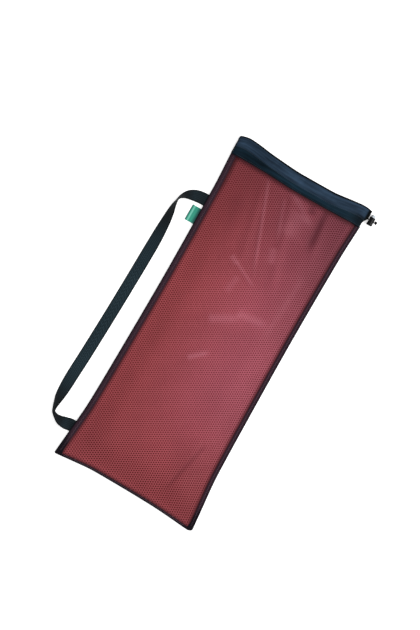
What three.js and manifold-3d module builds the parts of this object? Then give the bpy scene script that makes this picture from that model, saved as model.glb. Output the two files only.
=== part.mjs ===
// Mesh fin bag with a drawcord header and a carrying strap, empty and lying on its back panel.
// Millimetres: X runs across the bag, Y along it towards the mouth, Z up from the floor.
// The origin is on the underside of the back panel, in the middle of the bag.
import * as THREE from "three";
import { LoftGeometry } from "three/addons/geometries/LoftGeometry.js";
import { mergeVertices } from "three/addons/utils/BufferGeometryUtils.js";
import Module from "manifold-3d";

const wasm = await Module();
wasm.setup();

// Clearance between neighbouring pieces
const GAP = 0.3;

// Side edges of the bag: half its width at heights along it
const SIDE_OUTLINE = [
  { y: -380, half: 160 },
  { y: -336, half: 156 },
  { y: -240, half: 148 },
  { y: -120, half: 145.6 },
  { y: 60, half: 143.8 },
  { y: 250, half: 145.4 },
  { y: 330, half: 149 },
];
// End edges of the bag across its width: bottom edge, lower edge and top fold of the header
const END_OUTLINE = [
  { x: -160, bottom: -366, seam: 327.5, top: 362 },
  { x: -146, bottom: -365, seam: 327, top: 369 },
  { x: -128, bottom: -363.2, seam: 327, top: 372.8 },
  { x: -68, bottom: -358.8, seam: 326.5, top: 366.2 },
  { x: 0, bottom: -359.6, seam: 324, top: 361.6 },
  { x: 64, bottom: -361.4, seam: 323.5, top: 362 },
  { x: 112, bottom: -364.8, seam: 322.5, top: 367.2 },
  { x: 136, bottom: -367, seam: 320, top: 369.6 },
  { x: 152, bottom: -368, seam: 318.5, top: 367 },
  { x: 160, bottom: -368, seam: 318, top: 362 },
];
// Radius of the two bottom corners, the left one sharp and the right one round
const CORNER_LEFT = 3;
const CORNER_RIGHT = 7.5;

// Mesh panels
const PANEL_THICK = 1.2;
const PANEL_INSET = 3.5;
const DOME_HEIGHT = 19;
const DOME_RUN = 60;
const BACK_RUN = 20;
const HEADER_RUN = 13;
const FRONT_TOP_RUN = 120;
const BACK_TOP_RUN = 40;
const TAB_HALF = 122;
const TAB_THICK = 1.0;
const TAB_STEPS = [-5, -4, 4, 7, 7.5];
const FRONT_GRID = { columns: 17, rows: 19 };
const BACK_GRID = { columns: 5, rows: 6 };
// Folds in the front panel: a crest from one point to another, that rises over the first share
// of its length, dies away over the last, and fades out towards the header
const FOLD_RISE = 0.2;
const FOLD_TAIL = 0.4;
const FOLD_FADE = 20;
const FOLDS = [
  { x0: -60, y0: 305, x1: -25, y1: 150, width: 9, height: 2.6 },
  { x0: 2, y0: 312, x1: 57, y1: 130, width: 10, height: 3.0 },
  { x0: 78, y0: 312, x1: 98, y1: 215, width: 8, height: 2.2 },
  { x0: -48, y0: -66, x1: 26, y1: 40, width: 12, height: 2.4 },
];

// Binding tape folded over the seams, the room between the two panels in it, into which the
// strap and the tag are let, and the flat strip of panel kept beside it
const TAPE = 1.0;
const SEAM_SPREAD = 1.1;
const SEAM_MARGIN = 1.0;
const SIDE_BINDING_WIDTH = 9;
const BOTTOM_BINDING_WIDTH = 6;
const BINDING_FOLD = 1.2;
const BINDING_SLOT = 2 * PANEL_THICK + SEAM_SPREAD + 2 * GAP;
const BINDING_THICK = BINDING_SLOT + 2 * TAPE;
const FOLDED_CORNER_WIDTH = 15;
const FOLDED_CORNER_LENGTH = 20;

// Header: a casing round the mouth, folded at the left side and open at its right end
const CASING_WALL = 1.0;
const CASING_THICK = 6;
const CASING_PUFF = 2;
const CASING_PUFF_RUN = 70;
const CASING_SHARE = 0.6;
const CREST_DEGREES = [22.5, 45, 90];
const TUNNEL_CHAMFER = 0.5;
const HEM_THICK = 3.8;
const HEM_SLOT = 1.8;
const HEM_FROM = 0.68;
const HEM_SLOT_FROM = 0.74;
const TURN_RADIUS = 4;
const HEADER_LEFT = -149.5;
const HEADER_RIGHT = 151.5;
// Height of the middle of the front casing across the mouth, which gapes a little
const MOUTH = [
  { x: -160, lift: CASING_THICK / 2 + 2 * TURN_RADIUS },
  { x: -140, lift: CASING_THICK / 2 + 2 * TURN_RADIUS },
  { x: -60, lift: 18.5 },
  { x: 30, lift: 19.5 },
  { x: 110, lift: 14.5 },
  { x: 152, lift: 9.6 },
  { x: 170, lift: 9.0 },
];

// Drawcord and cord lock
const CORD = 3;
const CORD_Y = 350;
const STRAND_GAP = 0.3;
const LOCK_X = 162;
const BARREL_RADIUS = 6.3;
const BARREL_BORE = 4.8;
const BARREL_LENGTH = 17.5;
const BARREL_FLOOR = 2.5;
const BARREL_EDGE = 1.2;
const BARREL_RIM = 2.9;
const BARREL_WAIST = 0.5;
const BARREL_LIP = 0.6;
const HOLE_FROM_BASE = 10.6;
const HOLE_SLACK = 1.5;
const PLUNGER_RADIUS = BARREL_BORE - GAP;
const PLUNGER_BOTTOM = 7.2;
const PLUNGER_TOP = 23;
const PLUNGER_ROUND = 1.6;
const PLUNGER_TRAVEL = 4;
const LOCK_SIDES = 20;
const KNOT = { x: 2.8, y: 3.4, z: 3.8 };
const KNOT_SIDES = 14;
const KNOT_ROWS = 10;

// Carrying strap of flat webbing: its middle line on the floor plan, its tilt on edge in degrees
// and the height of its lower edge, from the upper end in the left seam to the lower end
const STRAP_WIDTH = 25;
const STRAP_THICK = 1.6;
const STRAP_STEPS = 76;
const STRAP_SIGHT = 0.002;
const STRAP_DEPTH = PANEL_INSET - 4 * GAP;
const STRAP_UPPER_Y = 222;
const STRAP_LOWER_Y = -302;
const STRAP_ROUTE = [
  { x: -152, y: 222, tilt: 0, low: 1.4 },
  { x: -164, y: 220.5, tilt: 14, low: 0.3 },
  { x: -178, y: 215.5, tilt: 36, low: 0 },
  { x: -189, y: 207, tilt: 62, low: 0 },
  { x: -195, y: 196, tilt: 84, low: 0 },
  { x: -196, y: 182, tilt: 66, low: 0 },
  { x: -195, y: 164, tilt: 50, low: 0 },
  { x: -194.2, y: 140, tilt: 34, low: 0 },
  { x: -194, y: 105, tilt: 15, low: 0 },
  { x: -194.6, y: 60, tilt: 2, low: 0 },
  { x: -197, y: -45, tilt: 0, low: 0 },
  { x: -201, y: -160, tilt: 0, low: 0 },
  { x: -204, y: -225, tilt: 12, low: 0 },
  { x: -204.4, y: -258, tilt: 30, low: 0 },
  { x: -202.8, y: -279, tilt: 50, low: 0 },
  { x: -197.5, y: -294, tilt: 80, low: 0 },
  { x: -188, y: -301.5, tilt: 62, low: 0 },
  { x: -177, y: -304, tilt: 36, low: 0 },
  { x: -166, y: -303.5, tilt: 14, low: 0.3 },
  { x: -158, y: -302, tilt: 0, low: 1.4 },
];

// Folded tag in the left seam
const LABEL_LENGTH = 34;
const LABEL_REACH = 18.5;
const LABEL_THICK = 1.4;
const LABEL_Y = 185;
const LABEL_TIP_HEIGHT = 0.9;
const LABEL_STRAIGHT = 0.2;
const LABEL_STEPS = 8;

// Points of a mesh closer together than this are one point
const MERGE_WITHIN = 1e-3;

const clamp = THREE.MathUtils.clamp;
const mix = THREE.MathUtils.lerp;

function smooth(share) {
  return THREE.MathUtils.smoothstep(share, 0, 1);
}

// Value of a table's column at a place between its rows, on a curve with no kinks or overshoot
function read(table, key, at, column) {
  const last = table.length - 1;
  const place = clamp(at, table[0][key], table[last][key]);
  let row = 0;
  while (row < last - 1 && place > table[row + 1][key]) {
    row += 1;
  }
  const grade = (i) => {
    const a = table[clamp(i, 0, last - 1)];
    const b = table[clamp(i, 0, last - 1) + 1];
    return (b[column] - a[column]) / (b[key] - a[key]);
  };
  const slope = (i) => {
    const before = grade(i - 1);
    const after = grade(i);
    return before * after > 0 ? (2 * before * after) / (before + after) : 0;
  };
  const from = table[row];
  const to = table[row + 1];
  const span = to[key] - from[key];
  const t = (place - from[key]) / span;
  const bend = t * t * (3 - 2 * t);
  const lead = t * (1 - t) * (1 - t) * span * slope(row);
  const trail = t * t * (1 - t) * span * slope(row + 1);
  return mix(from[column], to[column], bend) + lead - trail;
}

const bottomEdge = (x) => read(END_OUTLINE, "x", x, "bottom");
const headerSeam = (x) => read(END_OUTLINE, "x", x, "seam");
const headerTop = (x) => read(END_OUTLINE, "x", x, "top");
const mouthLift = (x) => read(MOUTH, "x", x, "lift");
const halfWidth = (y) => read(SIDE_OUTLINE, "y", y, "half");

// Outer edge of a side seam, with its bottom corner rounded off
function sideEdge(side, y) {
  const radius = side < 0 ? CORNER_LEFT : CORNER_RIGHT;
  const half = halfWidth(y);
  const depth = clamp(radius - (y - bottomEdge(side * half)), 0, radius);
  return half - radius + Math.sqrt(radius * radius - depth * depth);
}

// Heights of the middle of a seam, of each panel's edge in it, and of the back of the header,
// whose hem is set outwards so that the panel sewn into it lies as low as in the seams
const SEAM_Z = BINDING_THICK / 2;
const PANEL_STEP = (PANEL_THICK + SEAM_SPREAD) / 2;
const FRONT_EDGE = SEAM_Z + PANEL_STEP;
const BACK_EDGE = SEAM_Z - PANEL_STEP;
const BACK_CASING = CASING_THICK / 2;
const HEM_OUT = BACK_CASING - BACK_EDGE;

// Distances of a point of a panel from the edges, inside the binding's grip
function fromEdges(x, y) {
  return {
    side: halfWidth(y) - Math.abs(x) - SIDE_BINDING_WIDTH - SEAM_MARGIN,
    bottom: y - bottomEdge(x) - BOTTOM_BINDING_WIDTH - SEAM_MARGIN,
    top: headerSeam(x) - y,
  };
}

function foldHeight(x, y) {
  let height = 0;
  for (const fold of FOLDS) {
    const run = new THREE.Vector2(fold.x1 - fold.x0, fold.y1 - fold.y0);
    const offset = new THREE.Vector2(x - fold.x0, y - fold.y0);
    const along = offset.dot(run) / run.lengthSq();
    const across = offset.cross(run) / run.length() / fold.width;
    const ends = smooth(along / FOLD_RISE + 0.5) * smooth((1 - along) / FOLD_TAIL + 0.5);
    height += fold.height * ends * Math.exp(-across * across);
  }
  return height;
}

// Height of the middle of the front panel's cloth
function frontHeight(x, y) {
  const from = fromEdges(x, y);
  const rise = smooth(from.side / DOME_RUN) * smooth(from.bottom / DOME_RUN);
  const dome = mix(FRONT_EDGE, DOME_HEIGHT, rise);
  const atHeader = mix(FRONT_EDGE, mouthLift(x) + HEM_OUT, smooth(from.side / HEADER_RUN));
  const base = mix(dome, atHeader, smooth(1 - from.top / FRONT_TOP_RUN));
  return base + foldHeight(x, y) * rise * smooth(from.top / FOLD_FADE);
}

// Height of the middle of the back panel's cloth, flat on the floor inside its edges
function backHeight(x, y) {
  const from = fromEdges(x, y);
  const sides = smooth(from.side / BACK_RUN) * smooth(from.bottom / BACK_RUN);
  return mix(BACK_EDGE, PANEL_THICK / 2, sides * smooth(from.top / BACK_TOP_RUN));
}

function loft(sections) {
  return new LoftGeometry(sections, { capStart: true, capEnd: true });
}

// A closed geometry as a solid that can be joined and cut
function solidOf(geometry) {
  const bare = new THREE.BufferGeometry();
  bare.setAttribute("position", geometry.getAttribute("position"));
  bare.setIndex(geometry.getIndex());
  const merged = mergeVertices(bare, MERGE_WITHIN);
  const corners = merged.index.array;
  const triVerts = [];
  for (let i = 0; i < corners.length; i += 3) {
    const triangle = [corners[i], corners[i + 1], corners[i + 2]];
    if (new Set(triangle).size === 3) {
      triVerts.push(...triangle);
    }
  }
  return new wasm.Manifold(
    new wasm.Mesh({
      numProp: 3,
      vertProperties: merged.attributes.position.array,
      triVerts: new Uint32Array(triVerts),
    }),
  );
}

function geometryOf(solid) {
  const mesh = solid.getMesh();
  const geometry = new THREE.BufferGeometry();
  geometry.setAttribute("position", new THREE.BufferAttribute(mesh.vertProperties, 3));
  geometry.setIndex(new THREE.BufferAttribute(mesh.triVerts, 1));
  geometry.computeVertexNormals();
  return geometry;
}

function box(width, depth, height, x, y, z) {
  return new THREE.BoxGeometry(width, depth, height).translate(x, y, z);
}

// Places across and along a panel: close together where its edge bends, then evenly spaced
const SIDE_STEPS = [PANEL_INSET, 10, 16, 23, 33, 48];
const BOTTOM_STEPS = [PANEL_INSET, PANEL_INSET + 0.6, 10, 16, 23, 33, 48];
const TOP_STEPS = [104, 90, 76, 62, 49, 36, 24, 12, 1, 0.5];

function acrossPanel(y, columns) {
  const half = halfWidth(y);
  const inner = half - SIDE_STEPS[SIDE_STEPS.length - 1];
  const left = SIDE_STEPS.map((step) => step - half);
  const right = SIDE_STEPS.map((step) => half - step).reverse();
  const middle = [];
  for (let i = 1; i < columns; i += 1) {
    middle.push(mix(-inner, inner, i / columns));
  }
  return [...left, ...middle, ...right];
}

function alongPanel(rows) {
  const lower = BOTTOM_STEPS.map((step) => (x) => bottomEdge(x) + step);
  const upper = TOP_STEPS.map((step) => (x) => headerSeam(x) - step);
  const first = lower[lower.length - 1];
  const final = upper[0];
  const middle = [];
  for (let i = 1; i < rows; i += 1) {
    middle.push((x) => mix(first(x), final(x), i / rows));
  }
  return [...lower, ...middle, ...upper];
}

// One ring of a sheet: along its upper face from left to right, and back along its lower face
function sheetRing(xs, rowY, height, thick) {
  const upper = xs.map((x) => new THREE.Vector3(x, rowY(x), height(x, rowY(x)) + thick / 2));
  const lower = upper.map((p) => new THREE.Vector3(p.x, p.y, p.z - thick)).reverse();
  return [...upper, ...lower];
}

// A sheet of cloth through its rows, its first and last edges pressed to a line
function sheet(rows, across, height, thick) {
  const rings = rows.map((rowY, i) => {
    const pressed = i === 0 || i === rows.length - 1;
    return sheetRing(across(rowY(0)), rowY, height, pressed ? 0 : thick);
  });
  return solidOf(new LoftGeometry(rings));
}

// A panel of mesh cloth, with a tab along its upper edge that is sewn into the header
function panel(height, { columns, rows }) {
  const tabXs = [];
  for (let i = 0; i <= columns; i += 1) {
    tabXs.push(mix(-TAB_HALF, TAB_HALF, i / columns));
  }
  const tabRows = TAB_STEPS.map((step) => (x) => headerSeam(x) + step);
  const body = sheet(alongPanel(rows), (y) => acrossPanel(y, columns), height, PANEL_THICK);
  const tab = sheet(tabRows, () => tabXs, height, TAB_THICK);
  return geometryOf(body.add(tab));
}

// Section of a binding: inward from the outer fold, and up from the middle of the seam
function bindingSection(width) {
  const outer = BINDING_THICK / 2;
  const inner = BINDING_SLOT / 2;
  const round = outer - inner;
  return [
    { inward: 0, up: -inner },
    { inward: round, up: -outer },
    { inward: width, up: -outer },
    { inward: width, up: -inner },
    { inward: BINDING_FOLD, up: -inner },
    { inward: BINDING_FOLD, up: inner },
    { inward: width, up: inner },
    { inward: width, up: outer },
    { inward: round, up: outer },
    { inward: 0, up: inner },
  ];
}

// Places along a side seam, close together at the bottom corner
const SIDE_STATIONS = [0, 0.8, 2, 4, 7, 11, 16, 22, 40, 70, 110, 160, 220, 300, 380, 450, 520, 610];

function sideBinding(side) {
  const corner = bottomEdge(side * halfWidth(SIDE_OUTLINE[1].y));
  const end = headerSeam(side * halfWidth(SIDE_OUTLINE[SIDE_OUTLINE.length - 1].y)) - 2 * GAP;
  const places = [...SIDE_STATIONS.map((step) => corner + step), end];
  const sections = places.map((y) => {
    const spread = side < 0 ? smooth(1 - (y - corner) / FOLDED_CORNER_LENGTH) : 0;
    const edge = sideEdge(side, y);
    const cut = halfWidth(y) - edge;
    const width = mix(SIDE_BINDING_WIDTH, FOLDED_CORNER_WIDTH, spread) - cut;
    const ring = bindingSection(width).map(
      (p) => new THREE.Vector3(side * (edge - p.inward), y, SEAM_Z + p.up),
    );
    return side < 0 ? ring.reverse() : ring;
  });
  return loft(sections);
}

const BOTTOM_STATIONS = 20;

function bottomBinding() {
  const corner = halfWidth(bottomEdge(0));
  const from = -(corner - FOLDED_CORNER_WIDTH - 2 * GAP);
  const to = corner - SIDE_BINDING_WIDTH - 2 * GAP;
  const sections = [];
  for (let i = 0; i <= BOTTOM_STATIONS; i += 1) {
    const x = mix(from, to, i / BOTTOM_STATIONS);
    const ring = bindingSection(BOTTOM_BINDING_WIDTH).map(
      (p) => new THREE.Vector3(x, bottomEdge(x) + p.inward, SEAM_Z + p.up),
    );
    sections.push(ring);
  }
  return loft(sections);
}

// Slit in the outer fold of the left binding, where a strap or tag comes out of the seam
function seamSlit(y, width, thick) {
  const reach = 2 * PANEL_INSET;
  const x = -sideEdge(-1, y);
  return solidOf(box(reach, width + 2 * GAP, thick + 2 * GAP, x, y, SEAM_Z));
}

function leftBinding() {
  const upper = seamSlit(STRAP_UPPER_Y, STRAP_WIDTH, STRAP_THICK);
  const lower = seamSlit(STRAP_LOWER_Y, STRAP_WIDTH, STRAP_THICK);
  const tag = seamSlit(LABEL_Y, LABEL_LENGTH, LABEL_THICK);
  return geometryOf(solidOf(sideBinding(-1)).subtract(upper).subtract(lower).subtract(tag));
}

// Thickness of the front casing, filled out by the cord's tunnel along its middle
function frontCasing(x) {
  const fromLeft = (x - HEADER_LEFT) / CASING_PUFF_RUN;
  const fromRight = (HEADER_RIGHT - x) / CASING_PUFF_RUN;
  return CASING_THICK + CASING_PUFF * smooth(fromLeft) * smooth(fromRight);
}

// Way round the mouth, as stations with a place, an outward direction and the casing's thickness:
// along the front to the left, round the fold at the left side, and back along the floor
const TURN_X = HEADER_LEFT + CASING_THICK / 2 + TURN_RADIUS;
const FRONT_STATIONS = 18;
const TURN_STATIONS = 8;
const BACK_STATIONS = 10;

function aroundMouth(rightEnd) {
  const stations = [];
  for (let i = 0; i < FRONT_STATIONS; i += 1) {
    const x = mix(rightEnd, TURN_X, i / FRONT_STATIONS);
    stations.push({ x, z: mouthLift(x), outX: 0, outZ: 1, thick: frontCasing(x) });
  }
  for (let i = 0; i <= TURN_STATIONS; i += 1) {
    const angle = Math.PI * (0.5 + i / TURN_STATIONS);
    const outX = Math.cos(angle);
    const outZ = Math.sin(angle);
    const x = TURN_X + TURN_RADIUS * outX;
    const z = BACK_CASING + TURN_RADIUS * (1 + outZ);
    stations.push({ x, z, outX, outZ, thick: CASING_THICK });
  }
  for (let i = 1; i <= BACK_STATIONS; i += 1) {
    const x = mix(TURN_X, rightEnd, i / BACK_STATIONS);
    stations.push({ x, z: BACK_CASING, outX: 0, outZ: -1, thick: CASING_THICK });
  }
  return stations;
}

// Half of the casing's outline: down from the top fold, and out from the middle of the cloth,
// which is shifted outwards along the hem
function casingHalf(height, thick) {
  const half = thick / 2;
  const crest = CREST_DEGREES.map((degrees) => {
    const angle = THREE.MathUtils.degToRad(degrees);
    return { down: half * (1 - Math.cos(angle)), out: half * Math.sin(angle) };
  });
  return [
    ...crest,
    { down: height * CASING_SHARE, out: half },
    { down: height * HEM_FROM, out: HEM_THICK / 2, shift: HEM_OUT },
    { down: height, out: HEM_THICK / 2, shift: HEM_OUT },
    { down: height, out: HEM_SLOT / 2, shift: HEM_OUT },
    { down: height * HEM_SLOT_FROM, out: HEM_SLOT / 2, shift: HEM_OUT },
  ];
}

// Half of the outline of the cord's tunnel inside the casing, with its corners cut off
function tunnelHalf(height, thick) {
  const half = thick / 2 - CASING_WALL;
  const cut = half * TUNNEL_CHAMFER;
  const bottom = height * CASING_SHARE;
  return [
    { down: CASING_WALL, out: half - cut },
    { down: CASING_WALL + cut, out: half },
    { down: bottom - cut, out: half },
    { down: bottom, out: half - cut },
  ];
}

function casingRing(station, halfOutline) {
  const top = headerTop(station.x);
  const outline = halfOutline(top - headerSeam(station.x), station.thick);
  const mirrored = outline.map((p) => ({ ...p, out: -p.out })).reverse();
  return [...outline, ...mirrored].reverse().map(({ down, out, shift = 0 }) => {
    const x = station.x + station.outX * (out + shift);
    const z = station.z + station.outZ * (out + shift);
    return new THREE.Vector3(x, top - down, z);
  });
}

function header() {
  const pastEnd = HEADER_RIGHT + CASING_WALL;
  const casing = loft(aroundMouth(HEADER_RIGHT).map((s) => casingRing(s, casingHalf)));
  const tunnel = loft(aroundMouth(pastEnd).map((s) => casingRing(s, tunnelHalf)));
  return geometryOf(solidOf(casing).subtract(solidOf(tunnel)));
}

// Drawcord: in at the lock, round the mouth on the lower cloth of the tunnel, and out at the lock
const LOCK_Z = BARREL_RADIUS;
const STRAND_OFFSET = (CORD + STRAND_GAP) / 2;
const CORD_END = LOCK_X + BARREL_RADIUS + 2 * GAP;
const CORD_SIDES = 8;
const LEAD_FROM = 150.5;
const LEAD_TO = 157;
const LEAD_SHARES = [0.25, 0.5, 0.75, 1, 1.5, 2];

// A curve whose steps fall on its own points, so that they lie close together in a tight turn
class RouteCurve extends THREE.CatmullRomCurve3 {
  getPointAt(share) {
    return this.getPoint(share);
  }

  getTangentAt(share) {
    return this.getTangent(share);
  }
}

function cordRoute() {
  const rest = (thick) => thick / 2 - CASING_WALL - GAP - CORD / 2;
  const around = aroundMouth(LEAD_FROM).map((s) => {
    const low = rest(s.thick) * (s.outZ > 0 ? -1 : 1);
    const drop = low * Math.abs(s.outZ);
    return new THREE.Vector3(s.x + s.outX * drop, CORD_Y, s.z + s.outZ * drop);
  });
  const lead = (start, strand) =>
    LEAD_SHARES.map((share) => {
      const x = share > 1 ? mix(LEAD_TO, CORD_END, share - 1) : mix(LEAD_FROM, LEAD_TO, share);
      return new THREE.Vector3(x, CORD_Y, mix(start.z, strand, smooth(share)));
    });
  const upper = lead(around[0], LOCK_Z + STRAND_OFFSET).reverse();
  const lower = lead(around[around.length - 1], LOCK_Z - STRAND_OFFSET);
  return new RouteCurve([...upper, ...around, ...lower]);
}

function drawcord() {
  const route = cordRoute();
  const round = new THREE.Shape();
  round.absarc(0, 0, CORD / 2, 0, 2 * Math.PI);
  return new THREE.ExtrudeGeometry(round, {
    extrudePath: route,
    steps: route.points.length - 1,
    curveSegments: CORD_SIDES / 2,
    bevelEnabled: false,
  });
}

function cordKnot() {
  const ball = new THREE.SphereGeometry(1, KNOT_SIDES, KNOT_ROWS);
  const knot = ball.scale(KNOT.x, KNOT.y, KNOT.z);
  return knot.translate(CORD_END + GAP + KNOT.x, CORD_Y, LOCK_Z);
}

const LOCK_BASE_Y = CORD_Y - HOLE_FROM_BASE;

function turned(profile) {
  const points = profile.map(([radius, along]) => new THREE.Vector2(radius, along));
  return new THREE.LatheGeometry(points, LOCK_SIDES).translate(LOCK_X, LOCK_BASE_Y, LOCK_Z);
}

function cordLockBarrel() {
  const waist = BARREL_RADIUS - BARREL_WAIST;
  const barrel = turned([
    [0, 0],
    [BARREL_RADIUS - BARREL_EDGE, 0],
    [BARREL_RADIUS, BARREL_EDGE],
    [BARREL_RADIUS, BARREL_RIM],
    [waist, BARREL_RIM + BARREL_WAIST],
    [waist, BARREL_LENGTH - BARREL_RIM - BARREL_WAIST],
    [BARREL_RADIUS, BARREL_LENGTH - BARREL_RIM],
    [BARREL_RADIUS, BARREL_LENGTH - BARREL_LIP],
    [BARREL_RADIUS - BARREL_LIP, BARREL_LENGTH],
    [BARREL_BORE, BARREL_LENGTH],
    [BARREL_BORE, BARREL_FLOOR],
    [0, BARREL_FLOOR],
  ]);
  const height = CORD + 2 * STRAND_OFFSET + HOLE_SLACK;
  const hole = box(4 * BARREL_RADIUS, CORD + 3 * GAP, height, LOCK_X, CORD_Y, LOCK_Z);
  return geometryOf(solidOf(barrel).subtract(solidOf(hole)));
}

function cordLockPlunger() {
  const shoulder = PLUNGER_ROUND * (1 - Math.SQRT1_2);
  const plunger = turned([
    [0, PLUNGER_BOTTOM],
    [PLUNGER_RADIUS, PLUNGER_BOTTOM],
    [PLUNGER_RADIUS, PLUNGER_TOP - PLUNGER_ROUND],
    [PLUNGER_RADIUS - shoulder, PLUNGER_TOP - shoulder],
    [PLUNGER_RADIUS - PLUNGER_ROUND, PLUNGER_TOP],
    [0, PLUNGER_TOP],
  ]);
  const length = CORD + 2 * GAP + PLUNGER_TRAVEL;
  const height = CORD + 2 * STRAND_OFFSET + 2 * GAP;
  const y = CORD_Y + PLUNGER_TRAVEL / 2;
  const window = box(4 * PLUNGER_RADIUS, length, height, LOCK_X, y, LOCK_Z);
  return geometryOf(solidOf(plunger).subtract(solidOf(window)));
}

// Webbing: a flat section that stands up on its inner edge where the strap turns
function strapSection(route, share) {
  const last = route.length - 1;
  const column = (key) => route.map((row, i) => ({ i, value: row[key] }));
  const at = (key, place) => read(column(key), "i", place * last, "value");
  const ahead = Math.min(share + STRAP_SIGHT, 1);
  const behind = Math.max(share - STRAP_SIGHT, 0);
  const along = new THREE.Vector3(
    at("x", ahead) - at("x", behind),
    at("y", ahead) - at("y", behind),
    0,
  ).normalize();
  const outward = new THREE.Vector3(along.y, -along.x, 0);
  const tilt = THREE.MathUtils.degToRad(at("tilt", share));
  const up = new THREE.Vector3(0, 0, 1);
  const wide = outward.multiplyScalar(Math.cos(tilt)).addScaledVector(up, Math.sin(tilt));
  const thick = new THREE.Vector3().crossVectors(along, wide);
  const lowest = (STRAP_WIDTH * Math.sin(tilt) + STRAP_THICK * Math.cos(tilt)) / 2;
  const middle = new THREE.Vector3(at("x", share), at("y", share), at("low", share) + lowest);
  const corners = [
    [-1, -1],
    [1, -1],
    [1, 1],
    [-1, 1],
  ];
  return corners.map(([w, t]) =>
    middle
      .clone()
      .addScaledVector(wide, (w * STRAP_WIDTH) / 2)
      .addScaledVector(thick, (t * STRAP_THICK) / 2),
  );
}

function strapEnd(y) {
  const low = SEAM_Z - STRAP_THICK / 2;
  return [
    { x: STRAP_DEPTH - sideEdge(-1, y), y, tilt: 0, low },
    { x: -1 - sideEdge(-1, y), y, tilt: 0, low },
  ];
}

function shoulderStrap() {
  const route = [...strapEnd(STRAP_UPPER_Y), ...STRAP_ROUTE, ...strapEnd(STRAP_LOWER_Y).reverse()];
  const sections = [];
  for (let i = 0; i <= STRAP_STEPS; i += 1) {
    sections.push(strapSection(route, i / STRAP_STEPS));
  }
  return loft(sections);
}

// Tag: a short strip doubled over, its fold outermost and lying down on the floor
function label() {
  const inner = STRAP_DEPTH - sideEdge(-1, LABEL_Y);
  const fold = -LABEL_REACH - sideEdge(-1, LABEL_Y);
  const half = LABEL_THICK / 2;
  const middle = [];
  for (let i = 0; i <= LABEL_STEPS; i += 1) {
    const share = i / LABEL_STEPS;
    const droop = smooth((share - LABEL_STRAIGHT) / (1 - LABEL_STRAIGHT));
    middle.push({ x: mix(inner, fold, share), z: mix(SEAM_Z, LABEL_TIP_HEIGHT, droop) });
  }
  const outline = new THREE.Shape();
  outline.moveTo(middle[0].x, middle[0].z + half);
  middle.slice(1).forEach((p) => outline.lineTo(p.x, p.z + half));
  outline.lineTo(fold - half, LABEL_TIP_HEIGHT);
  [...middle].reverse().forEach((p) => outline.lineTo(p.x, p.z - half));
  outline.closePath();
  const tag = new THREE.ExtrudeGeometry(outline, { depth: LABEL_LENGTH, bevelEnabled: false });
  return tag.rotateX(Math.PI / 2).translate(0, LABEL_Y + LABEL_LENGTH / 2, 0);
}

const CLOTH = { metalness: 0, roughness: 0.85 };
const MESH_RED = { color: 0x95484f, ...CLOTH };
const HEADER_NAVY = { color: 0x2c3e51, metalness: 0, roughness: 0.6 };
const TAPE_BLACK = { color: 0x1b191f, ...CLOTH };
const WEBBING_BLACK = { color: 0x23313b, metalness: 0, roughness: 0.7 };
const LABEL_GREEN = { color: 0x3d9e88, metalness: 0, roughness: 0.5 };
const CORD_BLACK = { color: 0x121216, metalness: 0, roughness: 0.7 };
const BARREL_BLACK = { color: 0x0d0e11, metalness: 0, roughness: 0.25 };
const PLUNGER_GREY = { color: 0xb4bac0, metalness: 0, roughness: 0.3 };

const PIECES = [
  { name: "back_panel", shape: panel(backHeight, BACK_GRID), finish: MESH_RED },
  { name: "front_panel", shape: panel(frontHeight, FRONT_GRID), finish: MESH_RED },
  { name: "header", shape: header(), finish: HEADER_NAVY },
  { name: "left_binding", shape: leftBinding(), finish: TAPE_BLACK },
  { name: "right_binding", shape: sideBinding(1), finish: TAPE_BLACK },
  { name: "bottom_binding", shape: bottomBinding(), finish: TAPE_BLACK },
  { name: "shoulder_strap", shape: shoulderStrap(), finish: WEBBING_BLACK },
  { name: "label", shape: label(), finish: LABEL_GREEN },
  { name: "drawcord", shape: drawcord(), finish: CORD_BLACK },
  { name: "cord_knot", shape: cordKnot(), finish: CORD_BLACK },
  { name: "cord_lock_barrel", shape: cordLockBarrel(), finish: BARREL_BLACK },
  { name: "cord_lock_plunger", shape: cordLockPlunger(), finish: PLUNGER_GREY },
];

const bag = new THREE.Group();
for (const piece of PIECES) {
  const mesh = new THREE.Mesh(piece.shape, new THREE.MeshStandardMaterial(piece.finish));
  mesh.name = piece.name;
  bag.add(mesh);
}

export default bag;
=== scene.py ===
"""Looks of a mesh fin bag: net panels, header, bindings, strap, tag, drawcord and cord lock.

Shapes are worked out in millimetres in the part's own frame, X across the bag, Y towards its mouth
and Z up from the floor, and become metres when a piece is made.
"""

import math

import bmesh
import bpy
import numpy as np
from mathutils import Matrix, Vector


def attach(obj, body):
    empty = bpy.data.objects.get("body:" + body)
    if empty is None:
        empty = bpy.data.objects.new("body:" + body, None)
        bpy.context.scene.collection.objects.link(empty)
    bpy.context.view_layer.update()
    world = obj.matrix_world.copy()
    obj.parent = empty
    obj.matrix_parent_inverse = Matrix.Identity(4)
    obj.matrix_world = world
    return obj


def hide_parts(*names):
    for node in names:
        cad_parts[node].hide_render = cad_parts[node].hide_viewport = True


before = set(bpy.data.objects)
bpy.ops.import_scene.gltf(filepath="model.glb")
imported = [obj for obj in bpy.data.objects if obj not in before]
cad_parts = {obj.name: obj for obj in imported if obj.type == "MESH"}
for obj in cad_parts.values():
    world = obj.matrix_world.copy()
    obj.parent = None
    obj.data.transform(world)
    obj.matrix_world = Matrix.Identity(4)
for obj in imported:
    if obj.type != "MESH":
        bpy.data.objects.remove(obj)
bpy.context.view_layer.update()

MM = 0.001

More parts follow.
